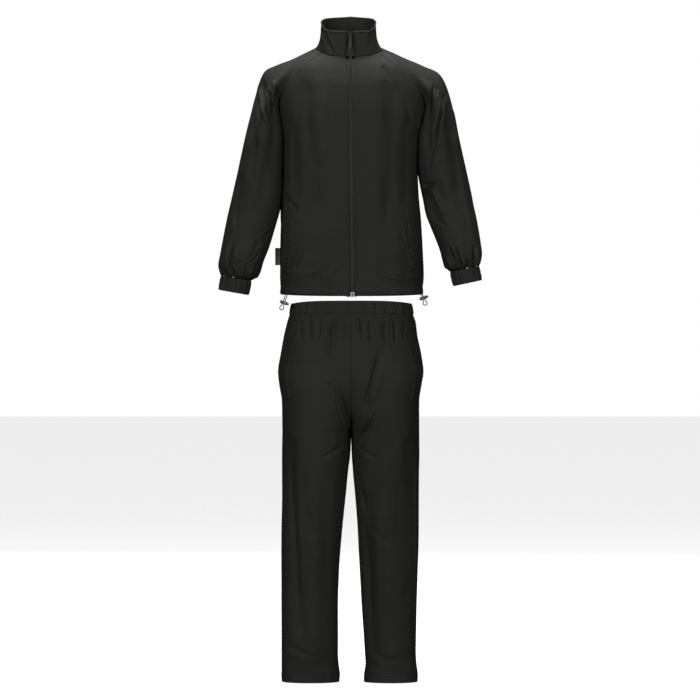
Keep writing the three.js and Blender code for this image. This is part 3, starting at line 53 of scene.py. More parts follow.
camera_data = bpy.data.cameras.new("camera")
camera_data.sensor_width = SENSOR
camera_data.lens = SENSOR * CAMERA_DISTANCE / (PHOTO_SIZE * PIXEL * MM)
camera_data.clip_end = 100
camera = bpy.data.objects.new("camera", camera_data)
bpy.context.scene.collection.objects.link(camera)
camera.location = (
    (PHOTO_SIZE / 2 - NECK_PIXEL[0]) * PIXEL * MM,
    -CAMERA_DISTANCE,
    (NECK_PIXEL[1] - PHOTO_SIZE / 2) * PIXEL * MM,
)
camera.rotation_euler = (QUARTER, 0, 0)
bpy.context.scene.camera = camera


# Numbers and tables

def table(columns, *rows):
    names = columns.split()
    return {name: np.array([row[i] for row in rows], float) for i, name in enumerate(names)}


def smooth(value):
    share = np.clip(value, 0, 1)
    return share * share * (3 - 2 * share)


# Rises to 1 at a centre and falls away on both sides
def bell(value, centre, width):
    return np.exp(-(((value - centre) / width) ** 2))


def lerp(low, high, share):
    return low + (high - low) * share


def unit(vectors):
    return vectors / np.maximum(np.linalg.norm(vectors, axis=-1, keepdims=True), 1e-9)


# Value of a column where the key column has the given value, with no overshoot between rows
def read(rows, key, at, column):
    keys, values = rows[key], rows[column]
    steps = np.diff(keys)
    secants = np.diff(values) / steps
    slopes = np.zeros_like(values)
    slopes[0], slopes[-1] = secants[0], secants[-1]
    before, after = secants[:-1], secants[1:]
    same = before * after > 0
    both = np.where(same, before + after, 1)
    slopes[1:-1] = np.where(same, 2 * before * after / both, 0)
    at = np.clip(at, keys[0], keys[-1])
    index = np.clip(np.searchsorted(keys, at, side="left") - 1, 0, len(keys) - 2)
    step = steps[index]
    t = (at - keys[index]) / step
    t2, t3 = t * t, t * t * t
    return (
        (2 * t3 - 3 * t2 + 1) * values[index]
        + (t3 - 2 * t2 + t) * slopes[index] * step
        + (3 * t2 - 2 * t3) * values[index + 1]
        + (t3 - t2) * slopes[index + 1] * step
    )


def read_side(rows, key, at, side, left="left", right="right"):
    return np.where(side < 0, read(rows, key, at, left), read(rows, key, at, right))


# Shares from 0 to 1 that lie closer together at both ends
def eased(steps, pull=0.7):
    even = np.linspace(0, 1, steps + 1)
    return even - pull * np.sin(2 * math.pi * even) / (2 * math.pi)


def lengths(points):
    steps = np.linalg.norm(np.diff(points, axis=0), axis=-1)
    return np.concatenate([[0], np.cumsum(steps)])


# The suit's own form, as the solids have it

CLOTH = 1.2
DOUBLE_CLOTH = 2.0
ELASTIC = 2.6
SEAM_GAP = 0.3
SEAM_OVERLAP = 0.3
BODY_ROUNDNESS = 2.3
BODY = table(
    "z left right front back",
    (-667, 193, 195, 124, 126),
    (-615, 195, 200, 127, 129),
    (-560, 195, 198, 130, 131),
    (-467, 193, 193, 134, 133),
    (-390, 190, 186, 137, 136),
    (-330, 188, 184, 139, 138),
    (-250, 189, 188, 140, 140),
    (-210, 193, 195, 139, 140),
    (-168, 201, 208, 136, 138),
    (-100, 212, 214, 119, 128),
    (-60, 213, 210, 99, 115),
    (-38, 203, 196, 84, 104),
    (-17, 158, 150, 62, 90),
    (-3, 125, 120, 42, 79),
    (13, 95, 81, 14, 66),
    (22, 79, 65, 3, 58),
)
NECK_FRONT_Z = -17.0
NECK_SEAM = table("angle z", (-90, -17), (-75, -14.5), (-54, -3), (-25, 8), (0, 13), (54, 19), (90, 21))
RAGLAN_FRONT = table(
    "z left right",
    (-168, 201, 208),
    (-150, 199, 205),
    (-125, 188, 193),
    (-91, 168, 170),
    (-50, 135, 135),
    (-3, 79, 71),
)
RAGLAN_BACK = table(
    "z left right",
    (-168, 201, 208),
    (-148, 198, 204),
    (-115, 182, 184),
    (-75, 153, 151),
    (-30, 112, 104),
    (19, 58, 50),
)
ARMPIT = -168
EVEN_BELOW = -195
NECK_FRONT_STEPS = 5
NECK_SIDE_STEPS = 4
NECK_BACK_STEPS = 6
RAGLAN_STEPS = 8
SLEEVE_LEFT = table(
    "z inner outer depth forward tilt",
    (-622, 273, 357, 42, 28, 10),
    (-614, 262, 361, 50, 28, 10),
    (-597, 251, 365, 60, 27, 9),
    (-566, 239, 360, 66, 25, 9),
    (-533, 225, 354, 70, 22, 8),
    (-467, 205, 341, 75, 16, 7),
    (-418, 192, 330, 78, 12, 6),
    (-368, 185, 319, 82, 8, 5),
    (-302, 182, 305, 86, 4, 4),
    (-236, 180, 291, 90, 2, 2),
    (-187, 184, 280, 92, 0, 0),
)
SLEEVE_RIGHT = table(
    "z inner outer depth forward tilt",
    (-597, 271, 351, 42, 42, 12),
    (-589, 262, 356, 51, 41, 12),
    (-566, 252, 360, 62, 38, 11),
    (-533, 241, 356, 68, 33, 10),
    (-467, 216, 345, 74, 22, 9),
    (-434, 204, 338, 76, 17, 8),
    (-401, 197, 332, 78, 13, 6),
    (-335, 184, 318, 84, 7, 5),
    (-302, 179, 311, 87, 5, 4),
    (-236, 178, 297, 91, 2, 2),
    (-187, 187, 287, 93, 0, 0),
)
UNDERARM_FULLNESS = 0.36
SHOULDER_FULLNESS = 0.63
NECK_FULLNESS = 0.24
ARM_CLIMB = 30
ARMPIT_TURN = [1, 0.85, 0.5, 0.2, 0]
CUFF_HEIGHT = 40.5
CUFF_GATHERS = 16
CUFF_FORWARD = -0.12
HEM_CASING = 26
HEM_BOTTOM = -667
HEM_LOW = -669.5
HEM_SIDE_LIFT = 3
HEM_ZIP_DIP = 6
HEM_DIP_WIDTH = 26
COLLAR_TOP = table(
    "angle z left right depth",
    (-90, 51, 80, 66, 64),
    (-45, 57, 81, 67, 62),
    (-12, 77, 82, 68, 58),
    (0, 84, 82, 68, 58),
    (35, 96, 82, 68, 60),
    (90, 103, 80, 66, 60),
)
COLLAR_BOW = 1.2
COLLAR_FLARE = 4
COLLAR_WIDTH = 75
COLLAR_DEPTH = 60
COLLAR_EDGE = {-1: 15, 1: 11}
ZIP_OPENING = 7
ZIP_LEAN_TOP = -2
ZIP_LEAN_HEM = 4
ZIP_TAPE_SINK = 2.7
ZIP_TAPE_WIDTH = 13
TROUSER_ROUNDNESS = 2.15
CROTCH = -1045
CROTCH_CURVE_TOP = -862
WAIST_SEAM = -721
WAIST_TOP = -685
WAIST_SIDE_DROP = 7
WAIST_GATHERS = 30
LEG_HEM_SEAM = -1706
LEG_HEM_BOTTOM = -1732
HIP = table(
    "z left right inner_left inner_right front back middle",
    (-1732, 191, 184, 32, 35, 62, 64, 16),
    (-1706, 192, 184, 31, 37, 62, 64, 16),
    (-1683, 192, 181, 34, 40, 63, 65, 16),
    (-1650, 192, 179, 36, 38, 66, 67, 15),
    (-1540, 192, 181, 36, 31, 73, 73, 13),
    (-1430, 192, 184, 33, 25, 80, 80, 11),
    (-1320, 192, 187, 25, 19, 88, 89, 9),
    (-1210, 190, 187, 14, 11, 98, 101, 7),
    (-1155, 190, 187, 9, 6, 104, 110, 6),
    (-1100, 190, 188, 2, 2, 110, 119, 5),
    (-1045, 189, 188, 0, 0, 116, 128, 4),
    (-963, 190, 188, 0, 0, 122, 138, 2),
    (-912, 198, 195, 0, 0, 124, 141, 0),
    (-880, 201, 200, 0, 0, 123, 141, 0),
    (-825, 193, 193, 0, 0, 119, 136, 0),
    (-783, 186, 184, 0, 0, 114, 129, 0),
    (-742, 176, 178, 0, 0, 108, 121, 0),
    (-721, 169, 171, 0, 0, 104, 116, 0),
    (-693, 163, 166, 0, 0, 102, 113, 0),
    (-685, 160, 163, 0, 0, 101, 112, 0),
)

# Large folds, as the solids have them
FOLD = "x1 z1 x2 z2 spread rise"
BODY_FRONT_FOLDS = table(
    FOLD,
    (-112, -90, -122, -470, 19, -4.5),
    (-72, -120, -80, -600, 20, 3.5),
    (-158, -190, -150, -420, 17, -5),
    (-110, -500, -160, -625, 18, 3.5),
    (104, -85, 112, -430, 18, -4.5),
    (62, -140, 78, -600, 20, 3),
    (152, -190, 150, -430, 17, -4.5),
    (120, -480, 128, -640, 20, 3.5),
)
BODY_BACK_FOLDS = table(
    FOLD,
    (-150, -170, -120, -560, 22, -5),
    (-72, -160, -84, -620, 26, 5),
    (0, -100, 4, -600, 24, -4.5),
    (66, -150, 84, -610, 26, 5),
    (146, -170, 124, -540, 22, -5),
)
ARM_FOLD = "angle top low spread rise"
SLEEVE_LEFT_FOLDS = table(
    ARM_FOLD,
    (62, -100, -330, 15, -6),
    (96, -70, -420, 16, 5),
    (128, -75, -300, 13, -4.5),
    (250, -80, -360, 17, -6),
    (290, -170, -520, 18, 5),
    (120, -500, -612, 14, -4),
    (75, -520, -612, 14, 4),
    (240, -500, -612, 16, -4),
)
SLEEVE_RIGHT_FOLDS = table(
    ARM_FOLD,
    (60, -100, -280, 14, -6),
    (92, -80, -380, 16, 5),
    (130, -90, -340, 13, -4.5),
    (60, -360, -450, 18, -6),
    (252, -80, -380, 17, -6),
    (285, -180, -500, 18, 5),
    (110, -480, -588, 14, -4.5),
    (235, -490, -588, 16, -4),
)
TROUSER_FRONT_FOLDS = table(
    FOLD,
    (-14, -880, -60, -790, 18, 4),
    (82, -815, 30, -985, 17, -6),
    (-28, -885, -6, -1035, 15, 4),
    (60, -990, 14, -1065, 15, 4),
    (-165, -1060, -140, -1600, 17, -5),
    (-100, -1100, -104, -1680, 24, 5),
    (44, -1210, 62, -1660, 16, -5),
    (104, -1100, 112, -1680, 24, 5),
    (160, -1060, 158, -1500, 15, -3.5),
)
TROUSER_BACK_FOLDS = table(
    FOLD,
    (-110, -1010, -20, -1085, 17, -6),
    (110, -1015, 20, -1085, 17, -6),
    (-95, -1090, -106, -1680, 24, 5),
    (98, -1090, 110, -1680, 24, 5),
    (-150, -1250, -75, -1330, 18, -5),
    (150, -1260, 75, -1340, 18, -5),
    (-120, -830, -130, -980, 20, 4),
    (120, -830, 130, -980, 20, 4),
)

# Creases given one by one: three places on a bent line, width, rise, and which side is steeper
CREASE = "x1 z1 x2 z2 x3 z3 width rise lean"
BODY_FRONT_CREASES = table(
    CREASE,
    (-122, -74, -131, -150, -112, -290, 15, -2.2, 0.2),
    (-140, -95, -146, -150, -150, -230, 8, -1.2, -0.3),
    (-86, -60, -94, -150, -98, -260, 14, 1.3, 0.2),
    (-98, -260, -90, -370, -96, -480, 15, -1.6, 0.3),
    (-52, -110, -58, -300, -54, -520, 12, -1.0, 0.1),
    (-168, -196, -166, -300, -170, -390, 6, 1.4, 0.3),
    (-177, -392, -181, -450, -189, -560, 7, -12, 0.3),
    (-176, -404, -160, -424, -139, -441, 4, -3.4, -0.4),
    (-136, -553, -148, -575, -163, -597, 3.6, 2.0, -0.5),
    (-128, -556, -142, -580, -156, -606, 5, -2.2, 0.4),
    (-182, -598, -172, -606, -160, -609, 4, 1.6, 0.2),
    (-188, -606, -176, -618, -162, -622, 4.5, -2.0, 0.2),
    (-78, -610, -96, -620, -116, -628, 6, -1.5, 0.3),
    (-84, -598, -106, -610, -130, -616, 7, 1.3, 0.2),
    (-30, -585, -52, -610, -80, -630, 8, 1.0, 0.1),
    (118, -82, 120, -160, 122, -300, 13, -1.8, -0.2),
    (84, -42, 98, -62, 112, -90, 8, -1.6, 0.3),
    (60, -55, 78, -120, 84, -230, 12, 1.2, 0.2),
    (140, -130, 158, -170, 170, -215, 9, -1.6, 0.2),
    (190, -170, 187, -200, 192, -214, 4, 2.0, 0.4),
    (94, -330, 100, -420, 92, -520, 14, -1.2, 0.2),
    (34, -160, 40, -340, 36, -560, 13, -0.9, 0.1),
    (141, -475, 149, -512, 156, -549, 2.8, 1.3, 0.4),
    (156, -549, 163, -574, 170, -596, 2.8, 1.5, 0.4),
    (64, -619, 106, -630, 173, -643, 5, -1.4, 0.2),
    (178, -598, 171, -604, 164, -603, 3.2, -2.2, 0.2),
    (178, -556, 174, -553, 168, -553, 3, -2.0, 0.2),
    (150, -617, 172, -622, 190, -612, 5, 1.3, 0.2),
)
BODY_BACK_CREASES = table(
    CREASE,
    (-120, -110, -128, -210, -118, -330, 14, -1.8, 0.2),
    (-40, -90, -34, -220, -42, -380, 16, 1.4, 0.1),
    (30, -110, 26, -260, 34, -420, 15, -1.3, -0.2),
    (118, -105, 130, -200, 122, -350, 14, -1.9, -0.2),
    (-170, -190, -150, -215, -120, -228, 8, -2.2, 0.3),
    (172, -194, 148, -220, 116, -236, 8, -2.1, -0.3),
    (-160, -400, -120, -425, -70, -432, 10, -1.6, 0.3),
    (150, -430, 108, -452, 66, -456, 10, -1.5, 0.2),
    (-150, -560, -110, -596, -70, -612, 9, 1.6, 0.2),
    (60, -560, 104, -602, 150, -618, 9, 1.5, 0.2),
    (-10, -480, 20, -560, 14, -628, 11, -1.2, 0.2),
)
SLEEVE_LEFT_CREASES = table(
    CREASE,
    (-235, -78, -237, -138, -207, -222, 5.5, -5.2, 0.45),
    (-228, -108, -220, -136, -207, -184, 3.8, -4.2, -0.3),
    (-206, -96, -202, -122, -211, -168, 3.8, -4.0, 0.3),
    (-214, -80, -209, -104, -211, -132, 5, 1.8, 0.1),
    (-259, -100, -256, -150, -247, -224, 5, -3.4, 0.4),
    (-250, -98, -239, -164, -212, -232, 6, 3.0, -0.3),
    (-263, -116, -268, -180, -279, -260, 6, -2.0, 0.2),
    (-258, -224, -262, -300, -272, -390, 9, -1.6, 0.3),
    (-296, -330, -310, -405, -317, -510, 7, -2.4, 0.3),
    (-304, -350, -316, -430, -325, -520, 7, 1.4, -0.2),
    (-240, -240, -236, -330, -246, -440, 16, -1.5, 0.1),
    (-216, -488, -226, -502, -240, -518, 4, -1.8, 0.3),
    (-242, -540, -256, -562, -272, -582, 3, -1.7, 0.4),
    (-232, -520, -252, -556, -262, -592, 8, 1.5, 0.2),
    (-322, -524, -330, -572, -333, -614, 3.8, -4.0, 0.3),
    (-313, -540, -318, -580, -322, -612, 4.5, 2.0, -0.3),
    (-345, -566, -344, -594, -342, -620, 4, -3.6, -0.3),
    (-337, -536, -339, -578, -338, -610, 4, 2.2, 0.2),
    (-302, -570, -304, -592, -306, -616, 4.5, -2.2, 0.3),
    (-286, -580, -286, -600, -288, -618, 4, -2.0, 0.3),
    (-268, -590, -272, -604, -280, -618, 4, 2.2, 0.3),
)
SLEEVE_RIGHT_CREASES = table(
    CREASE,
    (230, -88, 217, -138, 203, -214, 5.2, -5.4, -0.4),
    (239, -94, 236, -112, 232, -134, 4, -2.4, 0.2),
    (259, -112, 243, -184, 222, -290, 4.2, -4.0, -0.45),
    (248, -118, 234, -190, 214, -262, 7, 2.2, 0.3),
    (272, -138, 284, -204, 297, -285, 5, 2.8, 0.4),
    (297, -285, 309, -390, 343, -530, 6, 2.2, 0.4),
    (262, -140, 270, -230, 284, -330, 8, -1.8, -0.2),
    (226, -270, 218, -302, 212, -334, 4, -2.4, -0.3),
    (196, -366, 212, -368, 230, -364, 5, -5.0, 0.3),
    (200, -374, 216, -430, 250, -478, 9, -6.5, 0.4),
    (214, -356, 232, -410, 262, -462, 9, 3.0, -0.3),
    (230, -450, 246, -470, 262, -482, 5, -2.2, 0.2),
    (282, -330, 290, -400, 306, -470, 14, -1.5, 0.2),
    (266, -536, 276, -560, 289, -588, 4, -3.8, -0.3),
    (280, -530, 294, -564, 307, -594, 3.6, -3.6, 0.3),
    (258, -560, 268, -578, 280, -594, 4, 2.0, 0.2),
    (292, -552, 302, -576, 312, -592, 3.6, 2.2, 0.2),
    (322, -570, 322, -584, 320, -596, 3.6, -2.6, 0.2),
    (335, -528, 335, -562, 336, -596, 4, -3.4, -0.3),
    (345, -540, 345, -570, 344, -592, 4, 2.0, 0.2),
)
ARM_BACK_CREASES = table(
    CREASE,
    (232, -90, 236, -150, 220, -230, 7, -4.2, 0.3),
    (256, -110, 252, -190, 238, -280, 6, -3.4, -0.3),
    (246, -100, 244, -170, 230, -250, 7, 2.6, 0.2),
    (276, -150, 276, -230, 268, -320, 8, -2.2, 0.2),
    (206, -360, 236, -384, 270, -392, 8, -4.0, 0.3),
    (214, -410, 246, -430, 284, -430, 8, -3.4, 0.3),
    (210, -386, 240, -408, 276, -412, 8, 2.6, 0.2),
    (300, -380, 312, -450, 326, -520, 9, -2.0, 0.2),
    (290, -540, 298, -566, 306, -592, 4, -3.2, 0.3),
    (320, -530, 326, -562, 330, -592, 4.4, -3.0, 0.3),
    (306, -536, 313, -566, 318, -590, 4.4, 2.2, 0.2),
    (268, -548, 280, -572, 292, -592, 4.4, -2.8, 0.3),
)
TROUSER_FRONT_CREASES = table(
    CREASE,
    (-61, -728, -58, -790, -62, -862, 4.5, -3.6, 0.3),
    (-50, -728, -47, -770, -50, -822, 5, 2.0, -0.2),
    (-41, -728, -43, -756, -40, -790, 4, -3.0, -0.3),
    (-9, -728, -12, -760, -8, -802, 4, -2.6, 0.3),
    (30, -728, 28, -760, 33, -796, 4, -3.0, -0.3),
    (20, -728, 18, -752, 21, -780, 4.5, 1.9, 0.2),
    (55, -728, 52, -768, 58, -812, 4, -2.8, 0.3),
    (96, -728, 92, -770, 97, -820, 4, -2.6, -0.2),
    (76, -728, 76, -764, 72, -800, 5, 1.8, 0.2),
    (-88, -728, -86, -762, -92, -806, 4, -2.4, 0.2),
    (-112, -728, -114, -756, -110, -790, 4, -2.2, 0.2),
    (-102, -728, -100, -760, -104, -800, 5, 1.7, 0.2),
    (-136, -732, -138, -762, -134, -800, 4.4, -2.0, 0.2),
    (122, -728, 120, -766, 124, -806, 4, -2.2, 0.2),
    (146, -732, 144, -760, 147, -790, 4.4, -1.9, 0.2),
    (82, -820, 60, -900, 30, -1000, 5, -3.6, 0.45),
    (96, -836, 72, -916, 44, -986, 8, 1.8, -0.2),
    (-28, -880, -23, -975, 3, -1040, 3.4, 3.6, 0.35),
    (-40, -900, -34, -984, -12, -1046, 6, -2.4, -0.3),
    (66, -972, 40, -1026, 12, -1070, 3.4, 3.6, -0.35),
    (74, -1000, 46, -1044, 22, -1078, 6, -2.6, 0.3),
    (-70, -893, -60, -916, -48, -936, 4, -2.0, 0.3),
    (-84, -880, -70, -900, -56, -908, 4.5, 1.5, 0.2),
    (-14, -950, -8, -990, -2, -1030, 5, -2.2, 0.2),
    (20, -1076, 44, -1100, 80, -1112, 6, -2.0, 0.3),
    (-20, -1070, -48, -1096, -84, -1108, 6, -2.0, -0.3),
    (-176, -1068, -158, -1290, -141, -1596, 10, -2.6, -0.35),
    (-164, -1100, -146, -1320, -132, -1560, 12, 1.6, 0.2),
    (-60, -1180, -68, -1340, -62, -1560, 16, -1.4, 0.2),
    (-120, -1240, -108, -1300, -88, -1346, 10, -1.6, 0.3),
    (12, -1150, 22, -1168, 30, -1202, 5, -2.6, 0.3),
    (18, -1186, 30, -1220, 34, -1262, 6, -2.4, -0.3),
    (26, -1258, 46, -1420, 52, -1640, 9, -2.8, 0.35),
    (70, -1240, 78, -1400, 84, -1580, 15, 1.3, 0.2),
    (138, -1120, 132, -1300, 140, -1520, 16, -1.5, 0.2),
    (176, -1052, 178, -1300, 176, -1660, 3, 1.6, 0.4),
    (60, -1290, 84, -1330, 120, -1352, 10, -1.3, 0.2),
    (-180, -1620, -130, -1648, -86, -1660, 9, -1.4, 0.2),
    (60, -1640, 96, -1664, 140, -1668, 9, -1.4, 0.2),
)
TROUSER_BACK_CREASES = table(
    CREASE,
    (-120, -728, -116, -770, -122, -816, 4.4, -2.6, 0.2),
    (-86, -728, -90, -764, -84, -800, 4.4, -2.8, 0.2),
    (-56, -728, -54, -772, -58, -822, 4.4, -3.0, 0.2),
    (-24, -728, -26, -758, -22, -792, 4.4, -2.4, 0.2),
    (22, -728, 25, -762, 21, -806, 4.4, -2.8, 0.2),
    (52, -728, 50, -764, 54, -800, 4.4, -2.6, 0.2),
    (84, -728, 88, -770, 83, -818, 4.4, -3.0, 0.2),
    (118, -728, 116, -760, 120, -798, 4.4, -2.4, 0.2),
    (-40, -930, -60, -1010, -110, -1052, 9, -3.0, 0.3),
    (40, -935, 62, -1015, 112, -1060, 9, -2.9, -0.3),
    (-16, -1060, -60, -1090, -120, -1096, 8, -2.4, 0.2),
    (16, -1064, 58, -1094, 118, -1104, 8, -2.3, 0.2),
    (-160, -1230, -116, -1262, -60, -1272, 9, -3.0, 0.3),
    (-156, -1310, -112, -1336, -66, -1336, 9, -2.4, 0.3),
    (156, -1240, 112, -1274, 60, -1280, 9, -2.9, 0.3),
    (152, -1322, 110, -1346, 64, -1344, 9, -2.3, 0.3),
    (-130, -1400, -122, -1500, -128, -1620, 14, -1.8, 0.2),
    (132, -1400, 124, -1510, 130, -1630, 14, -1.8, 0.2),
)


# How far straight folds lift the cloth at places seen from the front or the back
def folds_at(folds, x, z):
    total = np.zeros(np.broadcast(x, z).shape)
    for x1, z1, x2, z2, spread, rise in zip(*(folds[name] for name in FOLD.split())):
        along_x, along_z = x2 - x1, z2 - z1
        length = math.hypot(along_x, along_z)
        along = ((x - x1) * along_x + (z - z1) * along_z) / length
        across = ((x - x1) * along_z - (z - z1) * along_x) / length
        taper = smooth((along + spread) / (2.5 * spread))
        taper = taper * smooth((length + spread - along) / (2.5 * spread))
        total += rise * taper * np.exp(-((across / spread) ** 2))
    return total


def arm_folds_at(folds, angle, z):
    total = np.zeros(np.broadcast(angle, z).shape)
    for fold_angle, top, low, spread, rise in zip(*(folds[name] for name in ARM_FOLD.split())):
        turn = np.abs((angle - fold_angle + 540) % 360 - 180)
        ends = smooth((top + 30 - z) / 60) * smooth((z - low + 30) / 60)
        total += rise * ends * np.exp(-((turn / spread) ** 2))
    return total


# How far soft bent creases lift the cloth, each fading out at both ends and with a lower roll beside it
CREASE_GAIN = 1.6
ROLL_BESIDE = 0.3
ROLL_PLACE = 1.9


def creases_at(creases, x, z):
    total = np.zeros(np.broadcast(x, z).shape)
    parts = 12
    for x1, z1, x2, z2, x3, z3, width, rise, lean in zip(*(creases[name] for name in CREASE.split())):
        t = np.linspace(0, 1, parts + 1)
        bend_x, bend_z = 2 * x2 - (x1 + x3) / 2, 2 * z2 - (z1 + z3) / 2
        line_x = (1 - t) ** 2 * x1 + 2 * t * (1 - t) * bend_x + t * t * x3
        line_z = (1 - t) ** 2 * z1 + 2 * t * (1 - t) * bend_z + t * t * z3
        reach = 5 * width
        near = (x > line_x.min() - reach) & (x < line_x.max() + reach)
        near &= (z > line_z.min() - reach) & (z < line_z.max() + reach)
        if not near.any():
            continue
        px, pz = x[near], z[near]
        best = np.full(px.shape, 1e9)
        place = np.zeros(px.shape)
        across = np.zeros(px.shape)
        for i in range(parts):
            step_x, step_z = line_x[i + 1] - line_x[i], line_z[i + 1] - line_z[i]
            size = math.hypot(step_x, step_z)
            share = ((px - line_x[i]) * step_x + (pz - line_z[i]) * step_z) / size**2
            inside = np.clip(share, 0, 1)
            distance = np.hypot(px - line_x[i] - inside * step_x, pz - line_z[i] - inside * step_z)
            closer = distance < best
            best = np.where(closer, distance, best)
            place = np.where(closer, (i + inside) / parts, place)
            turn = (px - line_x[i]) * step_z - (pz - line_z[i]) * step_x
            across = np.where(closer, np.sign(turn), across)
        spread = width * (1 + lean * across)
        taper = smooth(place / 0.3) * smooth((1 - place) / 0.3)
        roll = np.exp(-(((best * across * np.sign(lean) / width - ROLL_PLACE) / 1.1) ** 2))
        total[near] += CREASE_GAIN * rise * taper * (np.exp(-((best / spread) ** 2)) - ROLL_BESIDE * roll)
    return total


# Faint waviness of loose cloth, uneven in all directions
def waviness(x, y, z):
    first = np.sin(x / 17 + 0.8 * np.sin(z / 61)) * np.sin(z / 83 + 1.3 * np.sin(x / 47 + y / 71))
    second = np.sin(x / 31 + z / 113 + 2.1) * np.sin(y / 29 - z / 67)
    third = np.sin(z / 27 + 1.7 * np.sin(x / 39) + y / 43) * 0.35
    return 0.45 * first + 0.4 * second + 0.3 * third


def surface_normal(point_at, u, v, low, high, outwards):
    along_u = point_at(np.minimum(u + 0.002, high), v) - point_at(np.maximum(u - 0.002, low), v)
    along_v = point_at(u, v + 0.5) - point_at(u, v - 0.5)
    normal = unit(np.cross(along_u, along_v))
    return np.where((normal * outwards).sum(-1, keepdims=True) < 0, -normal, normal)


def body_point(side, angle, z):
    side, angle, z = np.broadcast_arrays(side, angle, z)
    half = read_side(BODY, "z", z, side)
    depth = np.where(angle < 0, read(BODY, "z", z, "front"), read(BODY, "z", z, "back"))
    power = 2 / BODY_ROUNDNESS
    x = side * half * np.abs(np.cos(angle)) ** power
    y = np.sign(angle) * depth * np.abs(np.sin(angle)) ** power
    return np.stack([x, y, z.astype(float)], -1)


def body_normal(side, angle, z):
    side, angle, z = np.broadcast_arrays(side, angle, z)
    outwards = body_point(side, angle, z) * (1, 1, 0)
    return surface_normal(lambda u, v: body_point(side, u, v), angle, z, -QUARTER, QUARTER, outwards)


def body_angle(side, x, z, facing):
    share = np.clip(np.abs(x) / read_side(BODY, "z", z, side), 0, 1)
    return facing * np.arccos(share ** (BODY_ROUNDNESS / 2))


def neck_height(angle):
    return read(NECK_SEAM, "angle", angle / DEGREE, "z")


def raglan_places(side, facing, fine):
    rows = RAGLAN_FRONT if facing < 0 else RAGLAN_BACK
    z = np.linspace(rows["z"][-1], ARMPIT, 321)
    angle = body_angle(side, read(rows, "z", z, "left" if side < 0 else "right"), z, facing)
    length = lengths(body_point(side, angle, z))
    wanted = np.linspace(0, length[-1], RAGLAN_STEPS * fine + 1)
    angle = np.interp(wanted, length, angle)
    z = np.interp(wanted, length, z)
    angle[-1] = 0
    return angle, z


def zip_x(z):
    return lerp(ZIP_LEAN_HEM, ZIP_LEAN_TOP, (z - HEM_BOTTOM) / -HEM_BOTTOM)


def panel_angle(side, facing, even, top_angle, top_z, z):
    start = body_point(side, even, EVEN_BELOW)[..., 0]
    end = body_point(side, top_angle, top_z)[..., 0]
    x = lerp(start, end, (z - EVEN_BELOW) / (top_z - EVEN_BELOW))
    angle = body_angle(side, x, z, facing)
    return np.where((z <= EVEN_BELOW) | (np.abs(even) < 0.001), even, angle)


# Distance of each point of a grid from its four edges, along the cloth
def edge_distances(grid):
    across = np.linalg.norm(np.diff(grid, axis=0), axis=-1)
    along = np.linalg.norm(np.diff(grid, axis=1), axis=-1)
    first = np.concatenate([np.zeros((1, grid.shape[1])), np.cumsum(across, 0)], 0)
    bottom = np.concatenate([np.zeros((grid.shape[0], 1)), np.cumsum(along, 1)], 1)
    return {
        "first": first,
        "last": first[-1:] - first,
        "bottom": bottom,
        "top": bottom[:, -1:] - bottom,
    }


# A seam draws the cloth in at its line, with small uneven puckers beside it
SEAM_DEPTH = 0.9
SEAM_WIDTH = 2.2
PUCKER = 0.35
PUCKER_PITCH = 9


def seam_dip(distance, along, depth=SEAM_DEPTH):
    wave = np.sin(2 * math.pi * along / PUCKER_PITCH + 2.2 * np.sin(along / 23))
    pucker = PUCKER * wave * bell(distance, 4, 3.5)
    return -depth * bell(distance, 0, SEAM_WIDTH) + pucker


# Meshes

def new_piece(name, points, faces, finish, smooth_faces=True):
    mesh = bpy.data.meshes.new(name)
    mesh.from_pydata((np.asarray(points) * MM).tolist(), [], [list(map(int, face)) for face in faces])
    mesh.polygons.foreach_set("use_smooth", np.full(len(mesh.polygons), smooth_faces))
    mesh.materials.append(finish)
    mesh.update()
    piece = bpy.data.objects.new(name, mesh)
    bpy.context.scene.collection.objects.link(piece)
    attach(piece, SUIT)
    return piece


def grid_normals(grid, closed=False):
    if closed:
        along_u = np.roll(grid, -1, 0) - np.roll(grid, 1, 0)
    else:
        along_u = np.gradient(grid, axis=0)
    return unit(np.cross(along_u, np.gradient(grid, axis=1)))


def turned_outwards(normals, out):
    return -normals if (normals * out).sum() < 0 else normals


# A closed grid with its first column again at the end
def wrapped(grid):
    return np.concatenate([grid, grid[:1]])


# Every how many columns and rows the inside of a wall has a point
INSIDE_STEP = 3


# How far each point stands above the lowest of its neighbours, so that the inside stays inside
def height_over_neighbours(grid, normals, closed):
    highest = np.zeros(grid.shape[:2])
    for step_u in range(-INSIDE_STEP, INSIDE_STEP + 1):
        for step_v in range(-INSIDE_STEP, INSIDE_STEP + 1):
            u = np.arange(grid.shape[0]) + step_u
            u = u % grid.shape[0] if closed else np.clip(u, 0, grid.shape[0] - 1)
            v = np.clip(np.arange(grid.shape[1]) + step_v, 0, grid.shape[1] - 1)
            highest = np.maximum(highest, ((grid - grid[np.ix_(u, v)]) * normals).sum(-1))
    return highest


def every_few(count, closed):
    places = np.arange(0, count, INSIDE_STEP)
    if closed or places[-1] == count - 1:
        return places
    return np.append(places, count - 1)


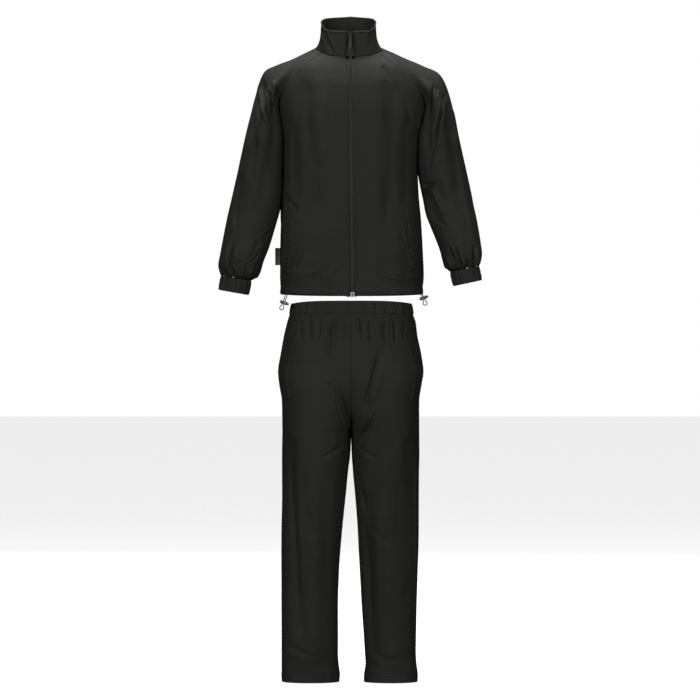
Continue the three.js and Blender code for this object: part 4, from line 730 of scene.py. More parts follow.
# Thin closed wall from a grid of outer points; out is the side that the cloth faces
def cloth_wall(name, grid, out, thickness, finish, closed=False):
    columns, rows = grid.shape[:2]
    normals = turned_outwards(grid_normals(grid, closed), out)
    depth = thickness + height_over_neighbours(grid, normals, closed)
    few_u, few_v = every_few(columns, closed), every_few(rows, False)
    inner = (grid - normals * depth[..., None])[np.ix_(few_u, few_v)]
    points = np.concatenate([grid.reshape(-1, 3), inner.reshape(-1, 3)])
    layer = columns * rows

    def quads(count_u, count_v, start):
        spans = count_u if closed else count_u - 1
        i, j = np.meshgrid(np.arange(spans), np.arange(count_v - 1), indexing="ij")
        i, j, next_i = i.ravel(), j.ravel(), (i.ravel() + 1) % count_u
        a, b, c, d = i * count_v + j, next_i * count_v + j, next_i * count_v + j + 1, i * count_v + j + 1
        return np.stack([a, b, c, d], 1) + start

    faces = quads(columns, rows, 0).tolist()
    faces += quads(len(few_u), len(few_v), layer)[:, ::-1].tolist()
    outer_at = lambda i, j: (i % columns) * rows + j
    inner_at = lambda i, j: layer + (i % len(few_u)) * len(few_v) + j
    ends = np.append(few_u, columns) if closed else few_u
    for k in range(len(ends) - 1):
        run = range(ends[k], ends[k + 1] + 1)
        faces.append([inner_at(k, 0), inner_at(k + 1, 0)] + [outer_at(i, 0) for i in reversed(run)])
        last = len(few_v) - 1
        faces.append([inner_at(k + 1, last), inner_at(k, last)] + [outer_at(i, rows - 1) for i in run])
    if not closed:
        for k in range(len(few_v) - 1):
            run = range(few_v[k], few_v[k + 1] + 1)
            faces.append([inner_at(0, k + 1), inner_at(0, k)] + [outer_at(0, j) for j in run])
            last = len(few_u) - 1
            outer = [outer_at(columns - 1, j) for j in reversed(run)]
            faces.append([inner_at(last, k), inner_at(last, k + 1)] + outer)
    u, v = grid[1, 0] - grid[0, 0], grid[0, 1] - grid[0, 0]
    if np.dot(np.cross(u, v), normals[0, 0]) < 0:
        faces = [face[::-1] for face in faces]
    return new_piece(name, points, faces, finish)


# Every cloth piece that stands for a node, by that node's name
made_sheets = {}


def sheet_piece(node, name, grid, out, thickness, finish, closed=False):
    piece = cloth_wall(name, grid, out, thickness, finish, closed)
    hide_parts(node)
    made_sheets[node] = piece


# Row of short thread stitches along a line that lies on the cloth
STITCH = {"pitch": 3.4, "length": 2.5, "width": 0.55, "rise": 0.35}


def stitch_points(line, normals):
    length = lengths(line)
    count = int(length[-1] / STITCH["pitch"])
    starts = (np.arange(count) + 0.2) * STITCH["pitch"]
    ends = starts + STITCH["length"]
    at = lambda values, place: np.stack([np.interp(place, length, values[:, k]) for k in range(3)], 1)
    first, last = at(line, starts), at(line, ends)
    normal = unit(at(normals, starts))
    side = unit(np.cross(last - first, normal)) * STITCH["width"] / 2
    up = normal * STITCH["rise"]
    middle = (first + last) / 2 + up * 1.4
    points = np.stack([first, middle + side, last, middle - side, middle + up, (first + last) / 2 - up], 1)
    corners = [(0, 1, 4), (1, 2, 4), (2, 3, 4), (3, 0, 4), (1, 0, 5), (2, 1, 5), (3, 2, 5), (0, 3, 5)]
    faces = (np.array(corners)[None] + 6 * np.arange(count)[:, None, None]).reshape(-1, 3)
    return points.reshape(-1, 3), faces


def stitches(name, lines, finish):
    points, faces, total = [], [], 0
    for line, normals in lines:
        row, corners = stitch_points(line, normals)
        points.append(row)
        faces.append(corners + total)
        total += len(row)
    return new_piece(name, np.concatenate(points), np.concatenate(faces), finish)


# Line across a grid at a distance from one of its edges, with normals
def grid_line(grid, edge, distance, out, keep=slice(None)):
    away = edge_distances(grid)[edge]
    normals = turned_outwards(grid_normals(grid), out)
    if edge in ("first", "last"):
        grid, away, normals = grid.swapaxes(0, 1), away.T, normals.swapaxes(0, 1)
    line, facing = [], []
    for points, apart, normal in zip(grid, away, normals):
        order = np.argsort(apart)
        line.append([np.interp(distance, apart[order], points[order, k]) for k in range(3)])
        facing.append([np.interp(distance, apart[order], normal[order, k]) for k in range(3)])
    return np.array(line)[keep], np.array(facing)[keep]


# Materials

def shader(name, colour, roughness, specular=0.4, sheen=0.0, coat=0.0, metallic=0.0):
    made = bpy.data.materials.new(name)
    made.use_nodes = True
    nodes, links = made.node_tree.nodes, made.node_tree.links
    surface = nodes["Principled BSDF"]
    surface.inputs["Base Color"].default_value = (*colour, 1)
    surface.inputs["Roughness"].default_value = roughness
    surface.inputs["Specular IOR Level"].default_value = specular
    surface.inputs["Sheen Weight"].default_value = sheen
    surface.inputs["Sheen Roughness"].default_value = 0.45
    surface.inputs["Sheen Tint"].default_value = (0.8, 0.82, 0.8, 1)
    surface.inputs["Coat Weight"].default_value = coat
    surface.inputs["Metallic"].default_value = metallic
    place = nodes.new("ShaderNodeTexCoord")
    return made, nodes, links, surface, place.outputs["Object"]


def noise(nodes, links, place, scale, detail=3.0):
    node = nodes.new("ShaderNodeTexNoise")
    node.inputs["Scale"].default_value = scale
    node.inputs["Detail"].default_value = detail
    links.new(place, node.inputs["Vector"])
    return node.outputs["Fac"]


def mixed_colour(nodes, links, share, low, high, share_low=0.35, share_high=0.65):
    ramp = nodes.new("ShaderNodeValToRGB")
    ramp.color_ramp.elements[0].position = share_low
    ramp.color_ramp.elements[1].position = share_high
    ramp.color_ramp.elements[0].color = (*low, 1)
    ramp.color_ramp.elements[1].color = (*high, 1)
    links.new(share, ramp.inputs["Fac"])
    return ramp.outputs["Color"]


def wave(nodes, links, place, direction, period):
    node = nodes.new("ShaderNodeTexWave")
    node.bands_direction = direction
    node.inputs["Scale"].default_value = 2 * math.pi / (20 * period)
    node.inputs["Distortion"].default_value = 0.6
    links.new(place, node.inputs["Vector"])
    return node.outputs["Fac"]


def bump(nodes, links, height, strength, distance, before=None):
    node = nodes.new("ShaderNodeBump")
    node.inputs["Strength"].default_value = strength
    node.inputs["Distance"].default_value = distance
    links.new(height, node.inputs["Height"])
    if before is not None:
        links.new(before, node.inputs["Normal"])
    return node.outputs["Normal"]


def woven(name, low, high, roughness, sheen, period, specular=0.4, wrinkle=0.5):
    made, nodes, links, surface, place = shader(name, high, roughness, specular, sheen)
    tone = mixed_colour(nodes, links, noise(nodes, links, place, 7), low, high)
    links.new(tone, surface.inputs["Base Color"])
    warp = wave(nodes, links, place, "X", period)
    weft = wave(nodes, links, place, "Z", period)
    threads = nodes.new("ShaderNodeMath")
    threads.operation = "ADD"
    links.new(warp, threads.inputs[0])
    links.new(weft, threads.inputs[1])
    normal = bump(nodes, links, threads.outputs["Value"], 0.25, period * 0.2)
    normal = bump(nodes, links, noise(nodes, links, place, 55), wrinkle, 0.0009, normal)
    normal = bump(nodes, links, noise(nodes, links, place, 16, 2.0), wrinkle, 0.003, normal)
    links.new(normal, surface.inputs["Normal"])
    polish = nodes.new("ShaderNodeMapRange")
    polish.inputs["To Min"].default_value = roughness - 0.07
    polish.inputs["To Max"].default_value = roughness + 0.07
    links.new(noise(nodes, links, place, 30), polish.inputs["Value"])
    links.new(polish.outputs["Result"], surface.inputs["Roughness"])
    return made


def moulded(name, low, high, roughness, coat=0.0, metallic=0.0, grain=900):
    made, nodes, links, surface, place = shader(name, high, roughness, 0.5, 0.0, coat, metallic)
    tone = mixed_colour(nodes, links, noise(nodes, links, place, 160), low, high)
    links.new(tone, surface.inputs["Base Color"])
    links.new(bump(nodes, links, noise(nodes, links, place, grain), 0.2, 0.0001), surface.inputs["Normal"])
    return made


CLOTH_TONES = ((0.0165, 0.0167, 0.0152), (0.0195, 0.0197, 0.0180))
cloth = woven("black_woven_cloth", *CLOTH_TONES, 0.7, 0.0, 0.0006, 0.1)
lining = woven("inside_of_cloth", (0.011, 0.011, 0.010), (0.015, 0.015, 0.014), 0.6, 0.0, 0.0007, 0.15)
gathered_cloth = woven("gathered_elastic_cloth", *CLOTH_TONES, 0.7, 0.0, 0.0006, 0.1)
tape_cloth = woven("woven_tape", (0.016, 0.016, 0.015), (0.020, 0.020, 0.019), 0.66, 0.0, 0.0012, 0.2)
label_cloth = woven("tab_cloth", (0.085, 0.086, 0.085), (0.12, 0.121, 0.12), 0.7, 0.0, 0.0009, 0.2)
# Stitching is painted pale grey: partly the thread's own colour, partly a painted highlight for the light
# that the rolled edges beside the zip catch
stitch_colour_with_highlight = woven("stitching_with_painted_highlight", (0.075, 0.075, 0.072), (0.11, 0.11, 0.105), 0.55, 0.0, 0.0003, 0.3)
cord_cloth = woven("braided_cord", (0.012, 0.012, 0.012), (0.022, 0.022, 0.021), 0.6, 0.3, 0.0009)
chain_plastic = moulded("black_zip_teeth", (0.012, 0.012, 0.012), (0.017, 0.017, 0.017), 0.5)
enamel = moulded("black_enamel", (0.009, 0.009, 0.009), (0.012, 0.012, 0.012), 0.5, 0.0)
box_plastic = moulded("grey_moulded_plastic", (0.28, 0.29, 0.28), (0.40, 0.41, 0.40), 0.45)
lock_plastic = moulded("black_gloss_plastic", (0.020, 0.020, 0.020), (0.028, 0.028, 0.028), 0.22, 0.6)


# Cords: the loops of elastic drawcord that leave the hem on each side

CORD_DIAMETER = 2.6
# Each drawcord comes down through its lock, turns in a drop below it and goes back up
CORD_STRANDS = {
    "left": (
        [(-179.1, -53.3, -664), (-180.4, -56.4, -671), (-182.4, -59, -678), (-184, -60, -683.6),
         (-186.1, -60, -689.3), (-188.1, -60, -694.9)],
        [(-184, -60, -696.4), (-181.9, -60, -690.8), (-179.9, -60, -685.1), (-177.2, -60.4, -678),
         (-175, -60.3, -671), (-174.2, -59.7, -664)],
    ),
    "right": (
        [(188.6, -36.6, -663), (190.6, -36, -667), (193.9, -33, -672.1), (196, -32, -677.8),
         (198, -32, -683.4)],
        [(202.1, -32, -681.9), (200, -32, -676.3), (198, -31.6, -670.6), (194.8, -29.6, -666.4),
         (191, -28.1, -663)],
    ),
}
CORD_TURN = 5.6
CORD_TURN_BELOW = 9

LOCK = {"length": 21, "height": 9, "depth": 10, "button": 4, "step": 2.4}
LOCK_PLACES = {"left": (-184, -60, -690, -20), "right": (198, -32, -677, 20)}


# Smooth line through chosen places
def curved_line(places, parts=5):
    places = np.array(places, float)
    padded = np.concatenate([[2 * places[0] - places[1]], places, [2 * places[-1] - places[-2]]])
    line = []
    for i in range(len(places) - 1):
        p0, p1, p2, p3 = padded[i:i + 4]
        for t in np.arange(parts) / parts:
            line.append(
                0.5 * (2 * p1 + (p2 - p0) * t + (2 * p0 - 5 * p1 + 4 * p2 - p3) * t * t
                       + (3 * p1 - p0 - 3 * p2 + p3) * t**3)
            )
    line.append(places[-1])
    return np.array(line)


def cord_places(down_strand, up_strand):
    last, first = np.array(down_strand[-1], float), np.array(up_strand[0], float)
    across = unit(first - last)
    below = np.array([across[2], 0, -across[0]])
    centre = (last + first) / 2 + below * CORD_TURN_BELOW
    angle = np.linspace(200, -20, 15)[:, None] * DEGREE
    turn = centre + CORD_TURN * (across * np.cos(angle) + below * np.sin(angle))
    return np.concatenate([np.array(down_strand, float), turn, np.array(up_strand, float)])


# Rounded body between two ends along X: a closed barrel whose ring sizes are given by rows
def barrel(rings, sides=28, squareness=3.4):
    points, faces = [], []
    for x, half_y, half_z in rings:
        for k in range(sides):
            angle = 2 * math.pi * k / sides
            c, s = math.cos(angle), math.sin(angle)
            power = 2 / squareness
            y = math.copysign(abs(c) ** power, c) * half_y
            z = math.copysign(abs(s) ** power, s) * half_z
            points.append((x, y, z))
    for r in range(len(rings) - 1):
        for k in range(sides):
            n = (k + 1) % sides
            faces.append((r * sides + k, r * sides + n, (r + 1) * sides + n, (r + 1) * sides + k))
    faces.append(tuple(range(sides))[::-1])
    faces.append(tuple(range((len(rings) - 1) * sides, len(rings) * sides)))
    return np.array(points, float), faces


def lock_part(name, rings, side_name):
    points, faces = barrel(rings)
    x, y, z, turn = LOCK_PLACES[side_name]
    c, s = math.cos(turn * DEGREE), math.sin(turn * DEGREE)
    along, up = points[:, 0], points[:, 2]
    points = np.stack([along * c - up * s + x, points[:, 1] + y, along * s + up * c + z], 1)
    return new_piece(name + side_name, points, faces, lock_plastic)


for side_name, strands in CORD_STRANDS.items():
    line = curved_line(cord_places(*strands)) * MM
    curve = bpy.data.curves.new("drawcord_" + side_name, "CURVE")
    curve.dimensions = "3D"
    curve.bevel_depth = CORD_DIAMETER / 2 * MM
    curve.bevel_resolution = 3
    curve.use_fill_caps = True
    spline = curve.splines.new("POLY")
    spline.points.add(len(line) - 1)
    spline.points.foreach_set("co", np.concatenate([line, np.ones((len(line), 1))], 1).ravel())
    spline.use_smooth = True
    curve.materials.append(cord_cloth)
    cord = bpy.data.objects.new("drawcord_" + side_name, curve)
    bpy.context.scene.collection.objects.link(cord)
    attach(cord, SUIT)
    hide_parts("hem_cord_" + side_name)

    half = LOCK["length"] / 2
    tall, deep = LOCK["height"] / 2, LOCK["depth"] / 2
    rings = [
        (-half, deep * 0.62, tall * 0.62),
        (-half + 0.7, deep * 0.86, tall * 0.86),
        (-half + 2, deep, tall),
        (-3.4, deep, tall),
        (-2.9, deep * 0.94, tall * 0.94),
        (2.9, deep * 0.94, tall * 0.94),
        (3.4, deep, tall),
        (half - 1.8, deep, tall),
        (half - 0.5, deep * 0.92, tall * 0.92),
        (half, deep * 0.8, tall * 0.8),
    ]
    lock = lock_part("cord_lock_body_", rings, side_name)
    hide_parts("cord_lock_" + side_name)
    near, far = half + SEAM_GAP, half + SEAM_GAP + LOCK["button"]
    deep, tall = deep - LOCK["step"] / 2, tall - LOCK["step"] / 2
    rings = [
        (near, deep * 0.9, tall * 0.9),
        (near + 0.2, deep, tall),
        (far - 1.2, deep, tall),
        (far - 0.3, deep * 0.86, tall * 0.86),
        (far, deep * 0.6, tall * 0.6),
    ]
    button = lock_part("cord_lock_push_", rings, side_name)
    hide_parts(f"cord_lock_{side_name}_button")


# Jacket body

FINE = 12
BACK_FINE = 8
BODY_FINE_ROWS = 240
BACK_FINE_ROWS = 180
SIDE_NAME = {-1: "left", 1: "right"}
FRONT_OUT = np.array([0, -1, 0])
BACK_OUT = np.array([0, 1, 0])


def body_fade(angle, z, top_z):
    return smooth((top_z - z) / 60) * smooth(np.abs(angle) / 0.35)


# Lift of the front cloth: large folds as in the solids, then creases and waviness
def front_lift(point, angle, z, top_z, edge):
    x, y = point[..., 0], point[..., 1]
    lift = folds_at(BODY_FRONT_FOLDS, x, z) * edge * body_fade(angle, z, top_z)
    calm = smooth((top_z - z) / 14) * smooth((z - HEM_BOTTOM - HEM_CASING) / 12 + 0.3)
    return lift + (creases_at(BODY_FRONT_CREASES, x, z) + 0.5 * waviness(x, y, z) * edge) * calm


def front_tops(side, fine):
    raglan_angle, raglan_z = raglan_places(side, -1, fine)
    start = body_angle(side, COLLAR_EDGE[side], NECK_FRONT_Z, -1)
    share = np.arange(NECK_FRONT_STEPS * fine) / (NECK_FRONT_STEPS * fine)
    neck = lerp(start, raglan_angle[0], share)
    return np.concatenate([neck, raglan_angle]), np.concatenate([neck_height(neck), raglan_z])


# Places along X, width and height of what the shoulder line drops or rises, seams and all
SHOULDER_SLOPE = ((-168, 26, -3), (-240, 22, 9), (156, 34, -7), (206, 34, -11))
SLOPE_REACH = (-150, 90)


def sloped(point):
    x, z = point[..., 0], point[..., 2]
    rise = sum(height * bell(x, centre, spread) for centre, spread, height in SHOULDER_SLOPE)
    low, run = SLOPE_REACH
    moved = point.copy()
    moved[..., 2] += rise * smooth((z - low) / run)
    return moved


def front_grid(side):
    top_angle, top_z = front_tops(side, FINE)
    steps = len(top_angle) - 1
    u = (np.arange(steps + 1) / steps)[:, None]
    low = HEM_BOTTOM + HEM_CASING
    z = lerp(low, top_z[:, None], eased(BODY_FINE_ROWS)[None])
    even = lerp(-QUARTER, 0, u)
    angle = panel_angle(side, -1, even, top_angle[:, None], top_z[:, None], z)
    flare = smooth((z[0] - NECK_FRONT_Z + 16) / 16)
    edge_x = side * lerp(side * zip_x(z[0]) + ZIP_OPENING, COLLAR_EDGE[side], flare)
    share = (np.arange(FINE) / FINE)[:, None]
    joined_x = body_point(side, angle[FINE], z[FINE])[..., 0]
    angle[:FINE] = body_angle(side, lerp(edge_x, joined_x, share), z[:FINE], -1)
    point = body_point(side, angle, z)
    normal = body_normal(side, angle, z)
    lift = front_lift(point, angle, z, top_z[:, None], smooth(u * (steps / FINE) / 3))
    away = edge_distances(point)
    lift = lift + seam_dip(away["top"], away["first"])
    lift = lift + seam_dip(away["last"], away["bottom"], 0.7) * (z < ARMPIT)
    lift = lift + zip_roll(away["first"], away["bottom"]) * smooth((NECK_FRONT_Z - z) / 10)
    return sloped(point) + normal * lift[..., None]


# The turned edge beside the zip: a soft roll that falls away to the tape, and its stitch line
def zip_roll(distance, along):
    uneven = 1 + 0.25 * np.sin(along / 19) * np.sin(along / 47 + 1)
    roll = 1.5 * uneven * bell(distance, 2.2, 2.4)
    fall = -2.4 * bell(distance, 0, 1.1)
    stitched = -0.7 * bell(distance, 7, 1.6)
    pucker = 0.3 * np.sin(along / 7 + np.sin(along / 31)) * bell(distance, 0, 9)
    return roll + fall + stitched + pucker


def back_grid():
    corner_left, corner_left_z = raglan_places(-1, 1, BACK_FINE)
    corner_right, corner_right_z = raglan_places(1, 1, BACK_FINE)
    share = np.arange(1, NECK_BACK_STEPS // 2 * BACK_FINE) / (NECK_BACK_STEPS // 2 * BACK_FINE)
    neck_left = lerp(corner_left[0], QUARTER, share)
    neck_right = lerp(corner_right[0], QUARTER, share)[::-1]
    top_angle = np.concatenate([corner_left[::-1], neck_left, [QUARTER], neck_right, corner_right])
    top_z = np.concatenate(
        [corner_left_z[::-1], neck_height(neck_left), [21], neck_height(neck_right), corner_right_z]
    )
    steps = len(top_angle) - 1
    side = np.where(np.arange(steps + 1) < steps / 2, -1, 1)[:, None]
    low = HEM_BOTTOM + HEM_CASING
    z = lerp(low, top_z[:, None], eased(BACK_FINE_ROWS)[None])
    turn = 2 * np.arange(steps + 1) / steps
    even = (np.where(turn <= 1, turn, 2 - turn) * QUARTER)[:, None]
    angle = panel_angle(side, 1, even, top_angle[:, None], top_z[:, None], z)
    point = body_point(side, angle, z)
    normal = body_normal(side, angle, z)
    x, y = point[..., 0], point[..., 1]
    lift = folds_at(BODY_BACK_FOLDS, x, z) * body_fade(angle, z, top_z[:, None])
    calm = smooth((top_z[:, None] - z) / 14) * smooth((z - low) / 12 + 0.3)
    lift = lift + (creases_at(BODY_BACK_CREASES, x, z) + 0.6 * waviness(x, y, z)) * calm
    away = edge_distances(point)
    lift = lift + seam_dip(away["top"], away["first"])
    for edge in ("first", "last"):
        lift = lift + seam_dip(away[edge], away["bottom"], 0.7) * (z < ARMPIT)
    return sloped(point) + normal * lift[..., None]


# Hem casing under a panel: a soft tube of doubled cloth with two stitch lines, drawn in a little
HEM_ROWS = 14
HEM_STITCHES = (3.5, 11.5)
ZIP_STITCH = 2.4


def hem_grid(panel, out):
    top = panel[:, 0].copy()
    flat = grid_normals(panel)[:, 0] * (1, 1, 0)
    flat = unit(flat if (flat * out).sum() > 0 else -flat)
    x, y = top[:, 0], top[:, 1]
    sideways = np.abs(x) / np.hypot(x, y)
    dip = np.where(y < 0, HEM_ZIP_DIP * bell(x, 0, HEM_DIP_WIDTH), 0)
    bottom = HEM_LOW + HEM_SIDE_LIFT * sideways**6 - dip
    start = HEM_BOTTOM + HEM_CASING
    share = eased(HEM_ROWS, 0.4)
    z = lerp(start, bottom[:, None], share[None])
    drop = start - z
    along = lengths(top)[:, None]
    lift = 0.9 * np.sin(math.pi * np.clip((drop - HEM_STITCHES[1]) / 14, 0, 1)) - 0.4
    for row in HEM_STITCHES:
        lift = lift - 0.9 * bell(drop, row, 1.2)
    ripple = np.sin(along / 6.5 + 1.5 * np.sin(along / 29)) * bell(drop, 9, 8)
    lift = lift + 0.35 * ripple + 0.25 * np.sin(along / 15 + drop / 5)
    grid = np.stack([x[:, None] + 0 * z, y[:, None] + 0 * z, z], -1)
    return grid + flat[:, None] * lift[..., None]


# Sleeves

SHOULDER_EASING = 420
ARM_FINE_ROWS = 150
SHOULDER_FINE_ROWS = 80
ARM_FINE = 12


def arm_point(side, rows, angle, z):
    inner, outer = read(rows, "z", z, "inner"), read(rows, "z", z, "outer")
    depth, forward = read(rows, "z", z, "depth"), read(rows, "z", z, "forward")
    tilt = read(rows, "z", z, "tilt") * DEGREE
    across = (outer - inner) / 2 * np.cos(angle)
    x = side * (inner + outer) / 2 - side * across * np.cos(tilt)
    return np.stack([x, -forward - depth * np.sin(angle), z - across * np.sin(tilt)], -1)


def sleeve_top(side, fine):
    front_angle, front_z = raglan_places(side, -1, fine)
    back_angle, back_z = raglan_places(side, 1, fine)
    share = np.arange(1, NECK_SIDE_STEPS * fine) / (NECK_SIDE_STEPS * fine)
    neck = lerp(front_angle[0], back_angle[0], share)
    angle = np.concatenate([front_angle[::-1], neck, back_angle[:-1]])
    z = np.concatenate([front_z[::-1], neck_height(neck), back_z[:-1]])
    return body_point(side, angle, z), body_normal(side, angle, z)


# Directions in which the cloth leaves the armhole seam and the neck
def sleeve_leave(side):
    point, normal = sleeve_top(side, 1)
    leave = unit(np.cross(np.roll(point, -1, 0) - np.roll(point, 1, 0), normal))
    count = len(point)
    middle = RAGLAN_STEPS + NECK_SIDE_STEPS // 2
    leave *= np.sign(leave[middle, 0] * side)
    index = np.arange(count)
    turn = np.interp(np.minimum(index, count - index), range(5), ARMPIT_TURN)[:, None]
    turned_out = unit(np.array([side * 0.3, 0, -1]))
    return unit(lerp(leave, turned_out, turn))


def outward_arm_normals(side, grid):
    normals = grid_normals(grid, True)
    outside = normals[len(grid) // 2, 40:60, 0].sum() * side
    return -normals if outside < 0 else normals


SLEEVE_CREASE_GAIN = 1.4


def sleeve_grid(side):
    rows = SLEEVE_LEFT if side < 0 else SLEEVE_RIGHT
    folds = SLEEVE_LEFT_FOLDS if side < 0 else SLEEVE_RIGHT_FOLDS
    point, _ = sleeve_top(side, ARM_FINE)
    coarse = sleeve_leave(side)
    count = len(point)
    place = np.arange(count) / ARM_FINE
    cycle = wrapped(coarse)
    leave = unit(np.stack([np.interp(place, range(len(cycle)), cycle[:, k]) for k in range(3)], 1))
    angle = place / len(coarse) * 2 * math.pi
    top, low = rows["z"][-1], rows["z"][0]
    start = arm_point(side, rows, angle, np.full(count, top))
    rise = unit(start - arm_point(side, rows, angle, np.full(count, top - ARM_CLIMB)))
    span = np.linalg.norm(point - start, axis=-1, keepdims=True)
    fullness = lerp(UNDERARM_FULLNESS, SHOULDER_FULLNESS, (1 - np.cos(angle)) / 2)[:, None]
    from_top = np.abs(place - len(coarse) / 2)[:, None] / (len(coarse) / 2)
    end_fullness = lerp(fullness, NECK_FULLNESS, smooth(from_top / 0.2) * smooth((1 - from_top) / 0.6))
    control1 = start + rise * span * fullness
    control2 = point + leave * span * end_fullness
    t = np.linspace(0, 1, 90)[None, :, None]
    curve = (
        (1 - t) ** 3 * start[:, None] + 3 * t * (1 - t) ** 2 * control1[:, None]
        + 3 * t * t * (1 - t) * control2[:, None] + t**3 * point[:, None]
    )
    shoulder = np.zeros((count, SHOULDER_FINE_ROWS, 3))
    wanted = np.arange(1, SHOULDER_FINE_ROWS + 1) / SHOULDER_FINE_ROWS
    wanted = wanted + 0.1 * np.sin(math.pi * wanted)
    for i in range(count):
        length = lengths(curve[i])
        for k in range(3):
            shoulder[i, :, k] = np.interp(wanted * length[-1], length, curve[i, :, k])
    z = lerp(low, top, 1 - (1 - np.arange(ARM_FINE_ROWS + 1) / ARM_FINE_ROWS) ** 0.9)
    arm = arm_point(side, rows, angle[:, None], z[None])
    grid = np.concatenate([arm, shoulder], 1)
    from_crest = np.abs(place - len(coarse) / 2)
    eased_columns = smooth((from_crest - 0.5) / 2.5) * smooth((len(coarse) / 2 - from_crest) / 2)
    rows_below = grid.shape[1] - 1 - np.arange(grid.shape[1])
    eased_rows = smooth(rows_below / 16) * smooth((SHOULDER_FINE_ROWS + 20 - rows_below) / 30)
    weight = (eased_columns[:, None] * eased_rows)[..., None]
    for _ in range(SHOULDER_EASING):
        grid = lerp(grid, (grid + (np.roll(grid, 1, 0) + np.roll(grid, -1, 0)) / 2) / 2, weight)
    grid = sloped(grid)
    normals = outward_arm_normals(side, grid)
    total = grid.shape[1] - 1
    row = np.arange(total + 1)[None]
    top_fade = smooth((total - row) / (SHOULDER_FINE_ROWS * 4 / 6))
    low_fade = smooth(row / (ARM_FINE_ROWS * 2 / 8))
    turn = (angle / DEGREE)[:, None]
    near_body = (turn < 90) | (turn > 270)
    away = 1 - np.cos(turn * DEGREE) ** 8 * near_body
    x, y, height = grid[..., 0], grid[..., 1], grid[..., 2]
    lift = arm_folds_at(folds, turn, height) * top_fade * low_fade * away
    facing = np.clip(-normals[..., 1] * 1.6 + 0.25, 0, 1)
    creases = SLEEVE_LEFT_CREASES if side < 0 else SLEEVE_RIGHT_CREASES
    calm = smooth((total - row) / 10) * smooth(row / 4 + 0.2)
    lift = lift + SLEEVE_CREASE_GAIN * creases_at(creases, x, height) * smooth(facing) * calm
    behind = np.clip(normals[..., 1] * 1.6 + 0.25, 0, 1)
    lift = lift + creases_at(ARM_BACK_CREASES, np.abs(x), height) * smooth(behind) * calm
    lift = lift + 0.7 * waviness(x, y, height) * calm
    lift = lift + cuff_gathers(turn * DEGREE, height - low)
    edges = edge_distances(grid)
    lift = lift + seam_dip(edges["top"], edges["first"], 0.8)
    return grid + normals * lift[..., None]


# Short uneven folds where the sleeve is gathered into its cuff
def cuff_gathers(angle, height):
    wave = np.cos(CUFF_GATHERS * angle) + 0.6 * np.cos(23 * angle + 1.1) + 0.5 * np.cos(9 * angle + 0.4)
    reach = 26 + 14 * np.sin(5 * angle + 0.7)
    return 2.0 * wave * bell(height, 0, reach) * smooth(height / 3 + 0.15)


def arm_axis(side, rows):
    tilt = rows["tilt"][0] * DEGREE
    return unit(np.array([side * math.sin(tilt), CUFF_FORWARD, -math.cos(tilt)]))


CUFF_COLUMNS = 320
CUFF_FINE_ROWS = 16


def cuff_grid(side):
    rows = SLEEVE_LEFT if side < 0 else SLEEVE_RIGHT
    angle = np.arange(CUFF_COLUMNS) / CUFF_COLUMNS * 2 * math.pi
    low = np.full(CUFF_COLUMNS, rows["z"][0])
    rim = arm_point(side, rows, angle, low)
    centre = rim.mean(0)
    normal = unit(rim - centre)[:, None]
    share = eased(CUFF_FINE_ROWS, 0.6)[None, :, None]
    turn = angle[:, None, None]
    uneven = 1 + 0.35 * np.sin(3 * turn + 0.5) + 0.2 * np.sin(7 * turn)
    gather = 1.15 * np.cos(CUFF_GATHERS * turn) * lerp(1, 0.6, share)
    gather = gather + 0.75 * np.cos(37 * turn + 1.4 * np.sin(4 * turn) + share * 0.9) * uneven
    gather = gather * (0.45 + 0.55 * np.sin(math.pi * share) ** 0.6)
    bulge = 1.2 * np.sin(math.pi * share) - 0.8 * bell(share, 0, 0.05) - 0.5
    line = -0.7 * bell(share, 0.5, 0.025)
    axis = arm_axis(side, rows)
    return rim[:, None] + normal * (gather + bulge + line) + axis * (SEAM_GAP / 2 + CUFF_HEIGHT * share)


for side in (-1, 1):
    name = SIDE_NAME[side]
    front = front_grid(side)
    sheet_piece("front_" + name, "jacket_front_" + name, front, FRONT_OUT, CLOTH, cloth)
    hem = hem_grid(front, FRONT_OUT)
    sheet_piece("hem_front_" + name, "jacket_hem_front_" + name, hem, FRONT_OUT, DOUBLE_CLOTH, cloth)
    rows = [grid_line(hem, "bottom", drop, FRONT_OUT) for drop in HEM_STITCHES]
    # The pale stitch row beside the zip is a painted highlight along the rolled edge
    rows.append(grid_line(front, "first", ZIP_STITCH, FRONT_OUT, slice(2, -14)))
    stitches("front_stitching_" + name, rows, stitch_colour_with_highlight)

    arm = sleeve_grid(side)
    sheet_piece("sleeve_" + name, "raglan_sleeve_" + name, arm, arm - arm.mean(0), CLOTH, cloth, closed=True)
    cuff = cuff_grid(side)
    out = cuff - cuff.mean(0)
    sheet_piece("cuff_" + name, "elastic_cuff_" + name, cuff, out, ELASTIC, gathered_cloth, True)

back = back_grid()
sheet_piece("back", "jacket_back", back, BACK_OUT, CLOTH, cloth)
hem = hem_grid(back, BACK_OUT)
sheet_piece("hem_back", "jacket_hem_back", hem, BACK_OUT, DOUBLE_CLOTH, cloth)
stitches("back_hem_stitching", [grid_line(hem, "bottom", drop, BACK_OUT) for drop in HEM_STITCHES], stitch_colour_with_highlight)


# Collar: a doubled stand with a soft rolled edge, closed by the zip and backed by a guard strip

COLLAR_FINE_ROWS = 48
COLLAR_FINE = 10
COLLAR_STITCH = {"top": 7.5, "bottom": 6, "ends": 6.5}
COLLAR_CREASES = table(
    CREASE,
    (-84, 74, -66, 32, -45, -14, 5.5, -3.4, 0.4),
    (-74, 62, -57, 28, -38, -2, 5, 1.2, -0.3),
    (-30, 44, -26, 22, -24, -4, 6, -0.7, 0.2),
    (14, 54, 28, 47, 42, 50, 4, -1.0, 0.3),
    (62, 70, 56, 34, 50, -2, 7, -0.9, 0.3),
)


